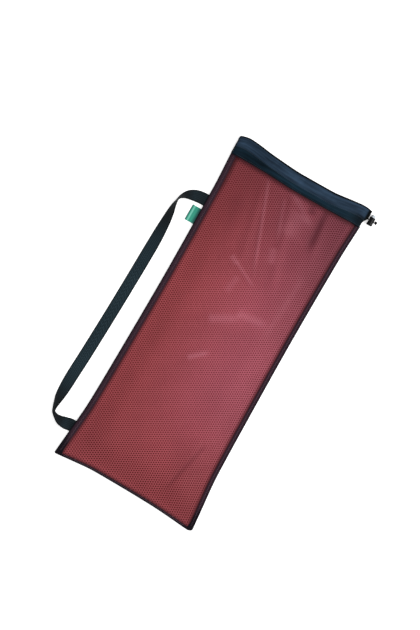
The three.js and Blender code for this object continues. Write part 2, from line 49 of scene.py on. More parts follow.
# Outline of the bag: half its width along it, and its end edges across it
SIDES = {
    "y": (-380, -336, -240, -120, 60, 250, 330),
    "half": (160, 156, 148, 145.6, 143.8, 145.4, 149),
}
ENDS = {
    "x": (-160, -146, -128, -68, 0, 64, 112, 136, 152, 160),
    "bottom": (-366.8, -365.8, -364, -359.6, -360.4, -362.2, -365.6, -367.8, -368.8, -368.8),
    "seam": (329, 328.5, 328.5, 327.5, 324.5, 324.5, 325.5, 326, 325.5, 325),
    "top": (362, 369, 372.8, 366.2, 361.6, 362, 367.2, 369.6, 367, 362),
}
CORNER_RADIUS = {-1: 3, 1: 7.5}

# Mesh panels, and their folds and creases: each one's start, end, width and height
PANEL_THICK = 1.2
PANEL_INSET = 3.5
DOME_HEIGHT = 19
DOME_RUN = 60
BACK_RUN = 20
HEADER_RUN = 13
FRONT_TOP_RUN = 120
BACK_TOP_RUN = 40
TAB_HALF = 122
FOLD_RISE = 0.2
FOLD_TAIL = 0.4
FOLD_FADE = 20
FOLDS = (
    ((-60, 305), (-25, 150), 9, 2.6),
    ((2, 312), (57, 130), 10, 3.0),
    ((78, 312), (98, 215), 8, 2.2),
    ((-48, -66), (26, 40), 12, 2.4),
)
CREASES = (
    ((-57, 319), (4, 157), 3.4, 1.8),
    ((-2, 322), (60, 280), 8, 1.7),
    ((-10, 300), (16, 226), 4, 1.3),
    ((32, 290), (28, 240), 20, 1.7),
    ((20, 205), (30, 175), 9, 1.5),
    ((75, 322), (80, 240), 8, -2.4),
    ((44, 322), (50, 300), 9, -2.2),
    ((-46, 151), (-28, 142), 6, 1.9),
    ((-30, 144), (18, 120), 3.6, 1.5),
    ((-14, 120), (-20, 84), 7, 1.1),
    ((-24, 20), (26, 48), 9, 1.8),
    ((22, 56), (78, 63), 9, 1.8),
    ((100, 180), (92, 50), 7, 0.8),
    ((-22, -69), (8, -42), 5.5, 2.2),
    ((96, -208), (70, -312), 4.5, -1.7),
    ((-92, 262), (-66, 120), 14, -1.0),
)

# Binding tape
TAPE = 1.0
SEAM_SPREAD = 1.1
SEAM_MARGIN = 1.0
SIDE_BINDING = 9
BOTTOM_BINDING = 6
BINDING_THICK = 2 * PANEL_THICK + SEAM_SPREAD + 0.6 + 2 * TAPE
FOLDED_CORNER_WIDTH = 15
FOLDED_CORNER_LENGTH = 20
SEAM_Z = BINDING_THICK / 2
FRONT_EDGE = SEAM_Z + (PANEL_THICK + SEAM_SPREAD) / 2
BACK_EDGE = SEAM_Z - (PANEL_THICK + SEAM_SPREAD) / 2

# Header
CASING_THICK = 6
CASING_PUFF = 2
CASING_PUFF_RUN = 70
CASING_HEIGHT = 23
HEM_FROM = 26
HEM_THICK = 3.8
TURN_RADIUS = 4
HEADER_LEFT = -149.5
HEADER_RIGHT = 151.5
TURN_X = HEADER_LEFT + CASING_THICK / 2 + TURN_RADIUS
BACK_CASING = CASING_THICK / 2
HEM_OUT = BACK_CASING - BACK_EDGE
MOUTH = {
    "x": (-160, -140, -60, 30, 110, 152, 170),
    "lift": (11, 11, 18.5, 19.5, 14.5, 9.6, 9.0),
}

# Strap: its middle line on the floor, its tilt, its lower edge, and its bow where it twists
STRAP_WIDTH = 25
STRAP_THICK = 1.6
STRAP_ENDS = (222, -302)
STRAP_DEPTH = 2.3
STRAP_STRAIGHT = 1
STRAP_LENGTH = 660
STRAP_WAY = {
    "x": (-152, -164, -178, -189, -195, -196, -195, -194.2, -194, -194.6,
          -197, -201, -204, -204.4, -202.8, -197.5, -188, -177, -166, -158),
    "y": (222, 220.5, 215.5, 207, 196, 182, 164, 140, 105, 60,
          -45, -160, -225, -258, -279, -294, -301.5, -304, -303.5, -302),
    "tilt": (180, 166, 144, 116, 100, 112, 130, 146, 165, 178,
             180, 180, 168, 146, 118, 90, 62, 36, 14, 0),
    "low": (1.4, 0.3, 0, 0, 0, 0, 0, 0, 0, 0, 0, 0, 0, 0, 0, 0, 0, 0, 0.3, 1.4),
    "bow": (0, 0, 0, 0, 0, 0, 0, 0, 0, 0, 0, 0, 0, -1.5, -4, -5, -3, -1, 0, 0),
}

# Tag
TAG_LENGTH = 34
TAG_REACH = 18.5
TAG_THICK = 1.4
TAG_Y = 185
TAG_TIP_HEIGHT = 0.9
TAG_STRAIGHT = 0.2
TAG_FOLD = 0.94
TAG_TAPER = 0.05

# Drawcord and cord lock
CORD = 3
CORD_Y = 350
STRAND_OFFSET = 1.65
LOCK_X = 162
BARREL_RADIUS = 6.3
LOCK_Z = BARREL_RADIUS
LOCK_BASE_Y = CORD_Y - 10.6
CORD_END = LOCK_X + BARREL_RADIUS + 0.6
LEAD_FROM = 150.5
LEAD_TO = 157


def mix(a, b, share):
    return a + (b - a) * share


def smooth(share):
    t = np.clip(share, 0, 1)
    return t * t * (3 - 2 * t)


def between(at, start, end):
    """How far a place has come from a start to an end, from 0 to 1."""
    return np.clip((at - start) / (end - start), 0, 1)


def passed(at, span):
    """How far a place has come along a span, smoothly at both ends."""
    return smooth(between(at, *span))


def wavering(at, wave):
    """Angle along a row of ripples whose spacing wanders."""
    return at / wave["length"] + wave["wander"] * np.sin(at / wave["over"])


def read(table, key, at, column):
    """A table's column at places between its rows, on a curve with no kinks or overshoot."""
    places = np.array(table[key], float)
    values = np.array(table[column], float)
    at = np.clip(at, places[0], places[-1])
    row = np.clip(np.searchsorted(places, at) - 1, 0, len(places) - 2)
    grade = np.diff(values) / np.diff(places)
    before = np.concatenate((grade[:1], grade))
    after = np.concatenate((grade, grade[-1:]))
    same_way = before * after > 0
    slope = np.where(same_way, 2 * before * after / np.where(same_way, before + after, 1), 0)
    span = places[row + 1] - places[row]
    t = (at - places[row]) / span
    lead = t * (1 - t) ** 2 * span * slope[row]
    trail = t * t * (1 - t) * span * slope[row + 1]
    return mix(values[row], values[row + 1], t * t * (3 - 2 * t)) + lead - trail


def half_width(y):
    return read(SIDES, "y", y, "half")


def bottom_edge(x):
    return read(ENDS, "x", x, "bottom")


def header_seam(x):
    return read(ENDS, "x", x, "seam")


def header_top(x):
    return read(ENDS, "x", x, "top")


def mouth_lift(x):
    return read(MOUTH, "x", x, "lift")


def side_edge(side, y):
    """Outer edge of a side seam, with its bottom corner rounded off."""
    radius = CORNER_RADIUS[side]
    half = half_width(y)
    depth = np.clip(radius - (y - bottom_edge(side * half)), 0, radius)
    return half - radius + np.sqrt(radius**2 - depth**2)


def from_edges(x, y):
    side = half_width(y) - np.abs(x) - SIDE_BINDING - SEAM_MARGIN
    bottom = y - bottom_edge(x) - BOTTOM_BINDING - SEAM_MARGIN
    return side, bottom, header_seam(x) - y


def fold_height(x, y, folds):
    height = 0
    for (x0, y0), (x1, y1), width, rise in folds:
        length = math.hypot(x1 - x0, y1 - y0)
        run_x, run_y = (x1 - x0) / length, (y1 - y0) / length
        along = ((x - x0) * run_x + (y - y0) * run_y) / length
        across = ((x - x0) * run_y - (y - y0) * run_x) / width
        ends = smooth(along / FOLD_RISE + 0.5) * smooth((1 - along) / FOLD_TAIL + 0.5)
        height = height + rise * ends * np.exp(-across * across)
    return height


def front_height(x, y):
    """Height of the middle of the front panel's cloth."""
    side, bottom, top = from_edges(x, y)
    rise = smooth(side / DOME_RUN) * smooth(bottom / DOME_RUN)
    dome = mix(FRONT_EDGE, DOME_HEIGHT, rise)
    at_header = mix(FRONT_EDGE, mouth_lift(x) + HEM_OUT, smooth(side / HEADER_RUN))
    base = mix(dome, at_header, smooth(1 - top / FRONT_TOP_RUN))
    return base + fold_height(x, y, FOLDS + CREASES) * rise * smooth(top / FOLD_FADE)


def back_height(x, y):
    """Height of the middle of the back panel's cloth, flat on the floor inside its edges."""
    side, bottom, top = from_edges(x, y)
    spread = smooth(side / BACK_RUN) * smooth(bottom / BACK_RUN) * smooth(top / BACK_TOP_RUN)
    return mix(BACK_EDGE, PANEL_THICK / 2, spread)


# Camera, straight above the bag and turned as the photograph is
CAMERA_HEIGHT = 6.0
CAMERA_OVER = (-0.0244, 0.0267)
CAMERA_TURN = 29.75
FRAME_HEIGHT = 1.26
SENSOR = 36


def set_camera():
    camera = bpy.data.cameras.new("camera")
    camera.sensor_width = SENSOR
    camera.lens = SENSOR * CAMERA_HEIGHT / FRAME_HEIGHT
    camera.clip_end = 50
    holder = placed("camera", camera)
    holder.location = (*CAMERA_OVER, CAMERA_HEIGHT)
    holder.rotation_euler = (0, 0, math.radians(CAMERA_TURN))
    bpy.context.scene.camera = holder


# Making pieces


def points_of(mesh):
    flat = np.empty(3 * len(mesh.vertices))
    mesh.vertices.foreach_get("co", flat)
    return flat.reshape(-1, 3)


def set_points(mesh, *columns):
    """Moves a mesh's points to places in millimetres."""
    points = np.stack(np.broadcast_arrays(*columns), axis=-1) * MM
    mesh.vertices.foreach_set("co", points.astype(np.float32).ravel())
    mesh.update()


def set_attribute(mesh, name, values):
    layer = mesh.attributes.new(name, "FLOAT", "POINT")
    layer.data.foreach_set("value", np.asarray(values, np.float32))


def mesh_of(bm, name):
    """A mesh made from a bmesh, which is used up."""
    mesh = bpy.data.meshes.new(name)
    bm.to_mesh(mesh)
    bm.free()
    return mesh


def placed(name, data):
    """An object of a mesh, a camera or a lamp, in the scene."""
    piece = bpy.data.objects.new(name, data)
    bpy.context.scene.collection.objects.link(piece)
    return piece


def grid_mesh(name, columns, rows, map_size):
    """A grid with a UV map of a size in millimetres, and its points' shares of it both ways."""
    bm = bmesh.new()
    bmesh.ops.create_grid(bm, x_segments=columns, y_segments=rows, size=0.5)
    bmesh.ops.translate(bm, verts=bm.verts, vec=(0.5, 0.5, 0))
    layer = bm.loops.layers.uv.new("UVMap")
    across, along = (size * MM for size in map_size)
    for face in bm.faces:
        for loop in face.loops:
            loop[layer].uv = (loop.vert.co.x * across, loop.vert.co.y * along)
    mesh = mesh_of(bm, name)
    return mesh, *points_of(mesh).T[:2]


def close_up(mesh, caps=False):
    """Joins the edges of a rolled-up grid, closes its ends, and turns its faces outwards."""
    bm = bmesh.new()
    bm.from_mesh(mesh)
    bmesh.ops.remove_doubles(bm, verts=bm.verts, dist=1e-6)
    if caps:
        rims = [edge for edge in bm.edges if edge.is_boundary]
        bmesh.ops.holes_fill(bm, edges=rims)
    bmesh.ops.recalc_face_normals(bm, faces=bm.faces)
    highest = max(bm.faces, key=lambda face: face.calc_center_median().z)
    if highest.normal.z < 0:
        bmesh.ops.reverse_faces(bm, faces=bm.faces)
    bm.to_mesh(mesh)
    bm.free()


def dress(name, mesh, finish, node=None, body="bag"):
    """Makes a piece of a mesh that is in metres, with its finish and any solid it stands for."""
    piece = placed(name, mesh)
    mesh.materials.append(finish)
    mesh.shade_smooth()
    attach(piece, body)
    if node:
        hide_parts(node)
    return piece


def set_all(thing, settings):
    for key, value in settings.items():
        setattr(thing, key, value)


def modify(piece, name, kind, **settings):
    set_all(piece.modifiers.new(name, kind), settings)


def thicken(piece, thickness):
    """Gives a sheet of cloth its thickness, inwards from its outer face."""
    modify(piece, "wall", "SOLIDIFY", thickness=thickness * MM, offset=-1)


def add_row(piece, count, step):
    """Repeats an object a number of times, each copy a step from the last."""
    offset = {"use_relative_offset": False, "use_constant_offset": True}
    modify(piece, "row", "ARRAY", count=count, constant_offset_displace=step, **offset)


def made_real(piece):
    """The mesh of an object with its modifiers applied; the object is used up."""
    bpy.context.view_layer.update()
    graph = bpy.context.evaluated_depsgraph_get()
    mesh = bpy.data.meshes.new_from_object(piece.evaluated_get(graph))
    bpy.data.objects.remove(piece)
    return mesh


# Net panels
NET_PITCH = 4.9
NET_COLUMN = NET_PITCH * math.sqrt(3) / 2
NET_ROWS = 140
NET_COLUMN_PAIRS = 34
STRAND_HALF = 1.8
STRAND_DROP = 0.6
NET_TUCK = 5.5
SIDE_TUCK = 3
SEAM_HOLE = 0.3
CREASE_TOP = 3
CREASE_CLOSING = 0.3
SEAM_HOLE_RUN = 14
SEAM_SHADE = {"left": 10.2, "right": 8, "bottom": 2.5, "run": 12}
# Painted sheen: the net is painted pinker and lighter towards its right and its upper part
PAINTED_SHEEN_SPAN = {"x": (-130, 90), "y": (-360, -60)}
HEADER_SHADE = {"share": 0.44, "run": 260}
BOTTOM_SHADE = {"share": 0.17, "run": 220}
RIGHT_SHADE = {"share": (0.17, 0.44), "x": (30, 130), "y": (-40, 250)}
VALLEY_SHADE = 0.3


def flat_net(name):
    """Flat honeycomb net, its holes open and its strands rounded, and its points in millimetres."""
    bm = bmesh.new()
    for place in ((0, 0, 0), (NET_COLUMN, NET_PITCH / 2, 0)):
        turned = Matrix.Translation(place) @ Matrix.Rotation(math.radians(90), 4, "Z")
        radius = NET_PITCH / math.sqrt(3)
        bmesh.ops.create_circle(bm, cap_ends=True, radius=radius, segments=6, matrix=turned)
    cells = placed(name, mesh_of(bm, name))
    add_row(cells, NET_COLUMN_PAIRS, (2 * NET_COLUMN, 0, 0))
    add_row(cells, NET_ROWS, (0, NET_PITCH, 0))
    mesh = made_real(cells)
    bm = bmesh.new()
    bm.from_mesh(mesh)
    bmesh.ops.remove_doubles(bm, verts=bm.verts, dist=NET_PITCH / 100)
    holes = list(bm.faces)
    bmesh.ops.inset_individual(
        bm, faces=holes, thickness=STRAND_HALF, depth=-STRAND_DROP, use_even_offset=True
    )
    bmesh.ops.delete(bm, geom=holes, context="FACES")
    bm.to_mesh(mesh)
    bm.free()
    mesh.name = name
    return mesh, points_of(mesh)


def hole_middles(points):
    """The middle of the net's hole that is nearest to each point."""
    pitch = np.array((2 * NET_COLUMN, NET_PITCH))
    nearest = np.full_like(points, np.inf)
    for start in ((0, 0), (NET_COLUMN, NET_PITCH / 2)):
        middle = start + pitch * np.round((points - start) / pitch)
        closer = np.hypot(*(middle - points).T) < np.hypot(*(nearest - points).T)
        nearest = np.where(closer[:, None], middle, nearest)
    return nearest


def net_shade(x, y):
    """Share of shade on the net, deeper towards its header, its bottom and its right side."""
    _, bottom, top = from_edges(x, y)
    header = HEADER_SHADE["share"] * smooth(1 - top / HEADER_SHADE["run"])
    low = BOTTOM_SHADE["share"] * smooth(1 - bottom / BOTTOM_SHADE["run"])
    right = mix(*RIGHT_SHADE["share"], passed(y, RIGHT_SHADE["y"])) * passed(x, RIGHT_SHADE["x"])
    return 1 - (1 - header) * (1 - low) * (1 - right)


def net_panel(name, node, height, facing, finish):
    """One panel of net, which is turned over where it faces the floor."""
    mesh, flat = flat_net(name)
    places, relief = flat[:, :2], flat[:, 2] + STRAND_DROP / 2

    def laid(where):
        across, along = ((where - places.min(axis=0)) / np.ptp(places, axis=0)).T
        middle_y = mix(bottom_edge(0), header_seam(0), along)
        x = facing * (2 * across - 1) * (half_width(middle_y) - PANEL_INSET)
        tuck = mix(SIDE_TUCK, NET_TUCK, smooth((TAB_HALF - np.abs(x)) / HEADER_RUN))
        return x, mix(bottom_edge(x) + PANEL_INSET, header_seam(x) + tuck, along)

    x, y = laid(places)
    side, bottom, top = from_edges(x, y)
    near_seam = smooth(1 - np.minimum(side, bottom) / SEAM_HOLE_RUN)
    rim = relief < 0
    creased = fold_height(x, y, CREASES) / CREASE_TOP * (facing > 0)
    bunched = CREASE_CLOSING * np.clip(creased, 0, 1)
    drawn_in = np.maximum((1 - SEAM_HOLE) * near_seam, bunched) * rim
    hole_x, hole_y = laid(hole_middles(places))
    x, y = mix(x, hole_x, drawn_in), mix(y, hole_y, drawn_in)
    z = height(x, y) + facing * relief
    set_points(mesh, x, y, z)
    edge = half_width(y) - np.abs(x) - np.where(x < 0, SEAM_SHADE["left"], SEAM_SHADE["right"])
    from_seam = np.min((edge, y - bottom_edge(x) - SEAM_SHADE["bottom"], top), axis=0)
    # rim marks the strands' flanks round each hole, which the finish paints in shade
    set_attribute(mesh, "rim", rim * (1 - bunched))
    # near_seam: painted shade where the net dips into its seams
    set_attribute(mesh, "near_seam", smooth(1 - from_seam / SEAM_SHADE["run"]))
    # painted_sheen: how far the net is painted pinker and lighter, as sheen
    set_attribute(mesh, "painted_sheen", passed(x, PAINTED_SHEEN_SPAN["x"]) * passed(y, PAINTED_SHEEN_SPAN["y"]))
    set_attribute(mesh, "shaded", net_shade(x, y) + VALLEY_SHADE * np.clip(-creased, 0, 1))
    # crest: how high a crease stands, where the finish paints a highlight
    set_attribute(mesh, "crest", np.clip(creased, 0, 1))
    panel = dress(name, mesh, finish, node)
    return panel


# Bindings
TAPE_AROUND = 28
TAPE_STEP = 2.5
TAPE_ROUND = 1.9
TAPE_FOLD_SHARE = 0.24
TAPE_SETTLE = 0.35
TAPE_SETTLE_SPAN = (1 / 6, 1)
TAPE_RIPPLE = 0.25
TAPE_WAVE = {"length": 7, "wander": 2, "over": 19}
TAPE_WALL = 0.9
CORNER_Y = -336
MOUTH_Y = 330
TAPE_WIDTH = {-1: 12.5, 1: 9.5}
BOTTOM_TAPE = 5.2
# The tape turns plum inwards from its outer fold, less on the bottom tape, and stays black near the
# bottom corners
BOTTOM_TONE_SHARE = 0.5
TAPE_TONE_RUN = 5
CORNER_BLACK_SPAN = (-350, -300)
CORNER_WIDTH = {-1: FOLDED_CORNER_WIDTH, 1: 13}
BOTTOM_TUCK = 5
BOTTOM_CLOSE = 2
SIDE_CLOSE = {"bottom": 3, "top": 1.5}
UNDER_SIDES = {"left": 7, "right": 5, "run": 4, "thick": 0.6, "step": 1.2}


def binding_points(around, width):
    """Inward from the outer fold, and up from the seam's middle, round a doubled tape."""
    turn = around * 2 - 1
    reach = np.abs(turn)
    angle = between(reach, 0, TAPE_FOLD_SHARE) * math.pi / 2
    flat = between(reach, TAPE_FOLD_SHARE, 1)
    folded = reach < TAPE_FOLD_SHARE
    inward = np.where(folded, TAPE_ROUND * (1 - np.cos(angle)), mix(TAPE_ROUND, width, flat))
    up = np.where(folded, BINDING_THICK / 2 * np.sin(angle), tape_height(flat))
    return inward, np.sign(turn) * up


def tape_height(flat):
    """Half the thickness of a binding, from its outer fold at 0 to its stitched edge at 1."""
    return BINDING_THICK / 2 - TAPE_SETTLE * passed(flat, TAPE_SETTLE_SPAN)


def tape_ripple(along, up):
    """How far the upper layer of a tape stands up, and none for the layer below."""
    return TAPE_RIPPLE * np.sin(wavering(along, TAPE_WAVE)) * (up > 1)


def tape_top(inward, width, along):
    """Height of a binding's upper face, some way in from its outer fold."""
    top = tape_height((inward - TAPE_ROUND) / (width - TAPE_ROUND))
    return SEAM_Z + top + tape_ripple(along, top)


def closed_end(from_end, run):
    """Share of its thickness that a tape keeps near an end that is folded shut."""
    gone = 1 - between(from_end, 0, run)
    return np.sqrt(1 - gone * gone)


def tape_grid(name, width, low, high):
    rows = round((high - low) / TAPE_STEP)
    mesh, around, along = grid_mesh(name, TAPE_AROUND, rows, (2 * width, high - low))
    return mesh, around, mix(low, high, along)


def dress_tape(name, mesh, inward, finish, node):
    set_attribute(mesh, "inward", smooth(inward / TAPE_TONE_RUN))
    close_up(mesh)
    piece = dress(name, mesh, finish, node)
    thicken(piece, TAPE_WALL)
    return piece


def side_span(side):
    low = float(bottom_edge(side * half_width(CORNER_Y)))
    high = float(header_seam(side * half_width(MOUTH_Y))) + SIDE_TUCK
    return low, high


def side_binding(name, node, side, finish):
    low, high = side_span(side)
    mesh, around, y = tape_grid(name, SIDE_BINDING, low, high)
    edge = side_edge(side, y)
    corner = smooth(1 - (y - low) / FOLDED_CORNER_LENGTH)
    width = mix(TAPE_WIDTH[side], CORNER_WIDTH[side], corner) - (half_width(y) - edge)
    inward, up = binding_points(around, width)
    up = up * closed_end(y - low, SIDE_CLOSE["bottom"]) * closed_end(high - y, SIDE_CLOSE["top"])
    x = side * (edge - inward)
    y = y + (bottom_edge(x) - low) * corner
    set_points(mesh, x, y, SEAM_Z + up + tape_ripple(y, up))
    return dress_tape(name, mesh, inward * passed(y, CORNER_BLACK_SPAN), finish, node)


def bottom_binding(name, node, finish):
    corner = float(half_width(bottom_edge(0)))
    low = BOTTOM_TUCK - corner
    high = corner - BOTTOM_TUCK
    mesh, around, x = tape_grid(name, BOTTOM_TAPE, low, high)
    inward, up = binding_points(around, BOTTOM_TAPE)
    under_left = smooth(1 - (x - low - UNDER_SIDES["left"]) / UNDER_SIDES["run"])
    under_right = smooth(1 - (high - x - UNDER_SIDES["right"]) / UNDER_SIDES["run"])
    under = under_left + under_right
    up = up * closed_end(np.minimum(x - low, high - x), BOTTOM_CLOSE)
    up = up * mix(1, UNDER_SIDES["thick"], under)
    y = bottom_edge(x) + inward + UNDER_SIDES["step"] * under
    set_points(mesh, x, y, SEAM_Z + up + tape_ripple(x, up))
    return dress_tape(name, mesh, BOTTOM_TONE_SHARE * inward, finish, node)


# Header
HEADER_AROUND = 64
HEADER_STEP = 1.6
CREST_SHARE = 0.2
WALL_SHARE = 0.6
STEP_SHARE = 0.68
LIP_SHARE = 0.95
LIP = 0.8
END_STEP = 4
END_LEAN = 7
END_LEAN_FROM = 336
END_LEAN_RUN = 16
END_LEAN_FADE = 40
END_PINCH = {"share": 0.55, "run": 8}
UPPER_SPAN = (-0.5, 0.5)
GATHER_WALL = ((0.08, 0.28), (0.62, 0.42))
GATHER_WAVE = {"length": 3.1, "wander": 2.2, "over": 11}
GATHER_LEAN = 5
STREAK_TURN = 26
STREAK_WANDER = ((1.5, 23), (0.8, 9))
HEM_GATHER = (STEP_SHARE, 0.78)
HEM_WAVE = {"length": 4.3, "wander": 1.7, "over": 13}
WRINKLES = {"rise": 0.3, "gathers": 0.3, "streaks": 0.6, "hem": 0.2}
# Painted shade on the header: along its top fold, round its left fold, on the hem's lower edge, in its
# right end and mouth, and towards its left end
TOP_FOLD = (0.22, 0.15)
LEFT_FOLD = (-0.5, -0.9)
HEM_SHADE_SPAN = (WALL_SHARE, 0.67)
LOWER_HALF = (0.5, WALL_SHARE)
HEM_EDGE = {"span": (0.86, 0.93), "share": 0.7}
RIGHT_DARK = {"span": (44.2, 10.2), "share": 0.75, "mouth": (6, 2)}
LEFT_DARK = {"span": (105, 35), "share": 0.35}
HEADER_CLOTH = 0.8
HEADER_GIRTH = 90
HEADER_LENGTH = 2 * (HEADER_RIGHT - TURN_X) + math.pi * TURN_RADIUS


def around_mouth(along, right_end):
    """Way round the mouth: along the front to the left fold, round it, and back underneath."""
    front = right_end - TURN_X
    turn = math.pi * TURN_RADIUS
    gone = along * (2 * front + turn)
    on_front = gone < front
    on_back = gone > front + turn
    angle = math.pi * (0.5 + np.clip((gone - front) / turn, 0, 1))
    fold_x = TURN_X + TURN_RADIUS * np.cos(angle)
    fold_z = BACK_CASING + TURN_RADIUS * (1 + np.sin(angle))
    x = np.where(on_front, right_end - gone, np.where(on_back, TURN_X + gone - front - turn, fold_x))
    z = np.where(on_front, mouth_lift(x), np.where(on_back, BACK_CASING, fold_z))
    out_x = np.where(on_front | on_back, 0, np.cos(angle))
    out_z = np.where(on_front, 1, np.where(on_back, -1, np.sin(angle)))
    puff = smooth((x - HEADER_LEFT) / CASING_PUFF_RUN) * smooth((HEADER_RIGHT - x) / CASING_PUFF_RUN)
    thick = CASING_THICK + CASING_PUFF * puff * on_front
    return x, z, out_x, out_z, thick


def header_profile(around, height, thick, pinch):
    """Down from the top fold and out from the cloth's middle, round the casing and its hem."""
    turn = around * 2 - 1
    reach = np.abs(turn)
    half = thick / 2
    hem = HEM_THICK / 2 * pinch
    crest = between(reach, 0, CREST_SHARE) * math.pi / 2
    wall = between(reach, CREST_SHARE, WALL_SHARE)
    step = between(reach, WALL_SHARE, STEP_SHARE)
    flat = between(reach, STEP_SHARE, LIP_SHARE)
    lip = between(reach, LIP_SHARE, 1) * math.pi / 2
    down = half * (1 - np.cos(crest))
    down = np.where(reach > CREST_SHARE, mix(half, CASING_HEIGHT, wall), down)
    down = np.where(reach > WALL_SHARE, mix(CASING_HEIGHT, HEM_FROM, step), down)
    down = np.where(reach > STEP_SHARE, mix(HEM_FROM, height - LIP, flat), down)
    down = np.where(reach > LIP_SHARE, height - LIP + LIP * np.sin(lip), down)
    out = half * np.sin(crest)
    out = np.where(reach > CREST_SHARE, half, out)
    out = np.where(reach > WALL_SHARE, mix(half, hem, smooth(step)), out)
    out = np.where(reach > LIP_SHARE, hem * np.cos(lip), out)
    return down, np.sign(turn) * out, HEM_OUT * smooth(step), reach


def casing_wrinkles(x, reach):
    """How far the casing's cloth stands out in small gathers, deepest on the wall over the cord."""
    wall = passed(reach, GATHER_WALL[0]) * passed(reach, GATHER_WALL[1])
    gathers = np.sin(wavering(x, GATHER_WAVE) + GATHER_LEAN * reach)
    wander = sum(depth * np.sin(x / length) for depth, length in STREAK_WANDER)
    streaks = np.sin(STREAK_TURN * reach + wander)
    hem = passed(reach, HEM_GATHER) * np.sin(wavering(x, HEM_WAVE))
    relief = WRINKLES["rise"] + WRINKLES["gathers"] * gathers + WRINKLES["streaks"] * streaks
    return wall * relief + WRINKLES["hem"] * hem


def header_surface(around, along):
    """Points on the header's cloth, in millimetres, and how far each is from the top fold."""
    x, z, out_x, out_z, thick = around_mouth(along, HEADER_RIGHT)
    top = header_top(x)
    pinch = mix(END_PINCH["share"], 1, smooth((HEADER_RIGHT - x) / END_PINCH["run"]))
    down, out, shift, reach = header_profile(around, top - header_seam(x), thick, pinch)
    upper = (out > 0) * passed(out_z, UPPER_SPAN)
    out = out + shift + casing_wrinkles(x, reach) * upper
    y = top - down
    lean = END_LEAN * smooth((y - END_LEAN_FROM) / END_LEAN_RUN) - END_STEP
    lean = lean * smooth(1 - (HEADER_RIGHT - x) / END_LEAN_FADE)
    return (x + lean + out_x * out, y, z + out_z * out), reach, out_x


def header(name, node, finish):
    rows = round(HEADER_LENGTH / HEADER_STEP)
    mesh, around, along = grid_mesh(name, HEADER_AROUND, rows, (HEADER_GIRTH, HEADER_LENGTH))
    points, reach, out_x = header_surface(around, along)
    set_points(mesh, *points)
    from_right, from_left = HEADER_RIGHT - points[0], points[0] - HEADER_LEFT
    lower_half = passed(reach, LOWER_HALF)
    # Painted shade at the header's folds, hem edge and ends
    dark = (
        passed(reach, TOP_FOLD),
        passed(out_x, LEFT_FOLD),
        HEM_EDGE["share"] * passed(reach, HEM_EDGE["span"]),
        RIGHT_DARK["share"] * passed(from_right, RIGHT_DARK["span"]) * lower_half,
        passed(from_right, RIGHT_DARK["mouth"]),
        LEFT_DARK["share"] * passed(from_left, LEFT_DARK["span"]) * lower_half,
    )
    # The hem is painted darker than the casing above it: painted shade
    set_attribute(mesh, "hem", passed(reach, HEM_SHADE_SPAN))
    set_attribute(mesh, "painted_shade", np.max(dark, axis=0))
    close_up(mesh)
    piece = dress(name, mesh, finish, node)
    thicken(piece, HEADER_CLOTH)
    return piece


# Strap and tag
STRAP_AROUND = 20
STRAP_STEPS = 420
STRAP_SIGHT = 0.002
BAND_ROUND = 0.5
# Painted shade on the strap where it stands on edge, and on its arches near the ends
STRAP_END_DARK = 0.6
STRAP_END_SHARE = (0.2, 0.1)
STRAP_TWIST_DARK = 1.2
TAG_AROUND = 44
TAG_ROWS = 34
TAG_CURL = 0.4
TAG_WAVE = {"turns": 5, "start": 0.4}


def strap_route():
    """The strap's table, with its ends let into the left seam."""
    low = SEAM_Z - STRAP_THICK / 2
    upper, lower = (float(side_edge(-1, y)) for y in STRAP_ENDS)
    return {
        "x": (STRAP_DEPTH - upper, -STRAP_STRAIGHT - upper, *STRAP_WAY["x"],
              -STRAP_STRAIGHT - lower, STRAP_DEPTH - lower),
        "y": (STRAP_ENDS[0],) * 2 + STRAP_WAY["y"] + (STRAP_ENDS[1],) * 2,
        "tilt": (180, 180, *STRAP_WAY["tilt"], 0, 0),
        "low": (low, low, *STRAP_WAY["low"], low, low),
        "bow": (0, 0, *STRAP_WAY["bow"], 0, 0),
        "row": tuple(range(len(STRAP_WAY["x"]) + 4)),
    }


def band_section(around, width, thick):
    """Across and through a flat band with rounded edges, once round its section."""
    turn = 2 * math.pi * around
    across = np.sign(np.cos(turn)) * np.abs(np.cos(turn)) ** BAND_ROUND
    through = np.sign(np.sin(turn)) * np.abs(np.sin(turn)) ** BAND_ROUND
    return across * width / 2, through * thick / 2


def shoulder_strap(name, node, finish):
    route = strap_route()
    last = route["row"][-1]
    mesh, around, along = grid_mesh(name, STRAP_AROUND, STRAP_STEPS, (2 * STRAP_WIDTH, STRAP_LENGTH))

    def at(column, share):
        return read(route, "row", np.clip(share, 0, 1) * last, column)

    run_x = at("x", along + STRAP_SIGHT) - at("x", along - STRAP_SIGHT)
    run_y = at("y", along + STRAP_SIGHT) - at("y", along - STRAP_SIGHT)
    length = np.hypot(run_x, run_y)
    run_x, run_y = run_x / length, run_y / length
    tilt = np.radians(at("tilt", along))
    across, through = band_section(around, STRAP_WIDTH, STRAP_THICK)
    through = through + at("bow", along) * (1 - (2 * across / STRAP_WIDTH) ** 2)
    flat = across * np.cos(tilt) - through * np.sin(tilt)
    rise = across * np.sin(tilt) + through * np.cos(tilt)
    lowest = (STRAP_WIDTH * np.sin(tilt) + STRAP_THICK * np.abs(np.cos(tilt))) / 2
    x = at("x", along) + run_y * flat
    y = at("y", along) - run_x * flat
    z = at("low", along) + lowest + rise
    set_points(mesh, x, y, z)
    # twisted: painted shade where the strap stands on edge and near its ends
    ends = STRAP_END_DARK * passed(np.minimum(along, 1 - along), STRAP_END_SHARE)
    set_attribute(mesh, "across", across / STRAP_WIDTH)
    set_attribute(mesh, "twisted", np.maximum(ends, smooth(STRAP_TWIST_DARK * np.sin(tilt))))
    close_up(mesh, caps=True)
    return dress(name, mesh, finish, node)


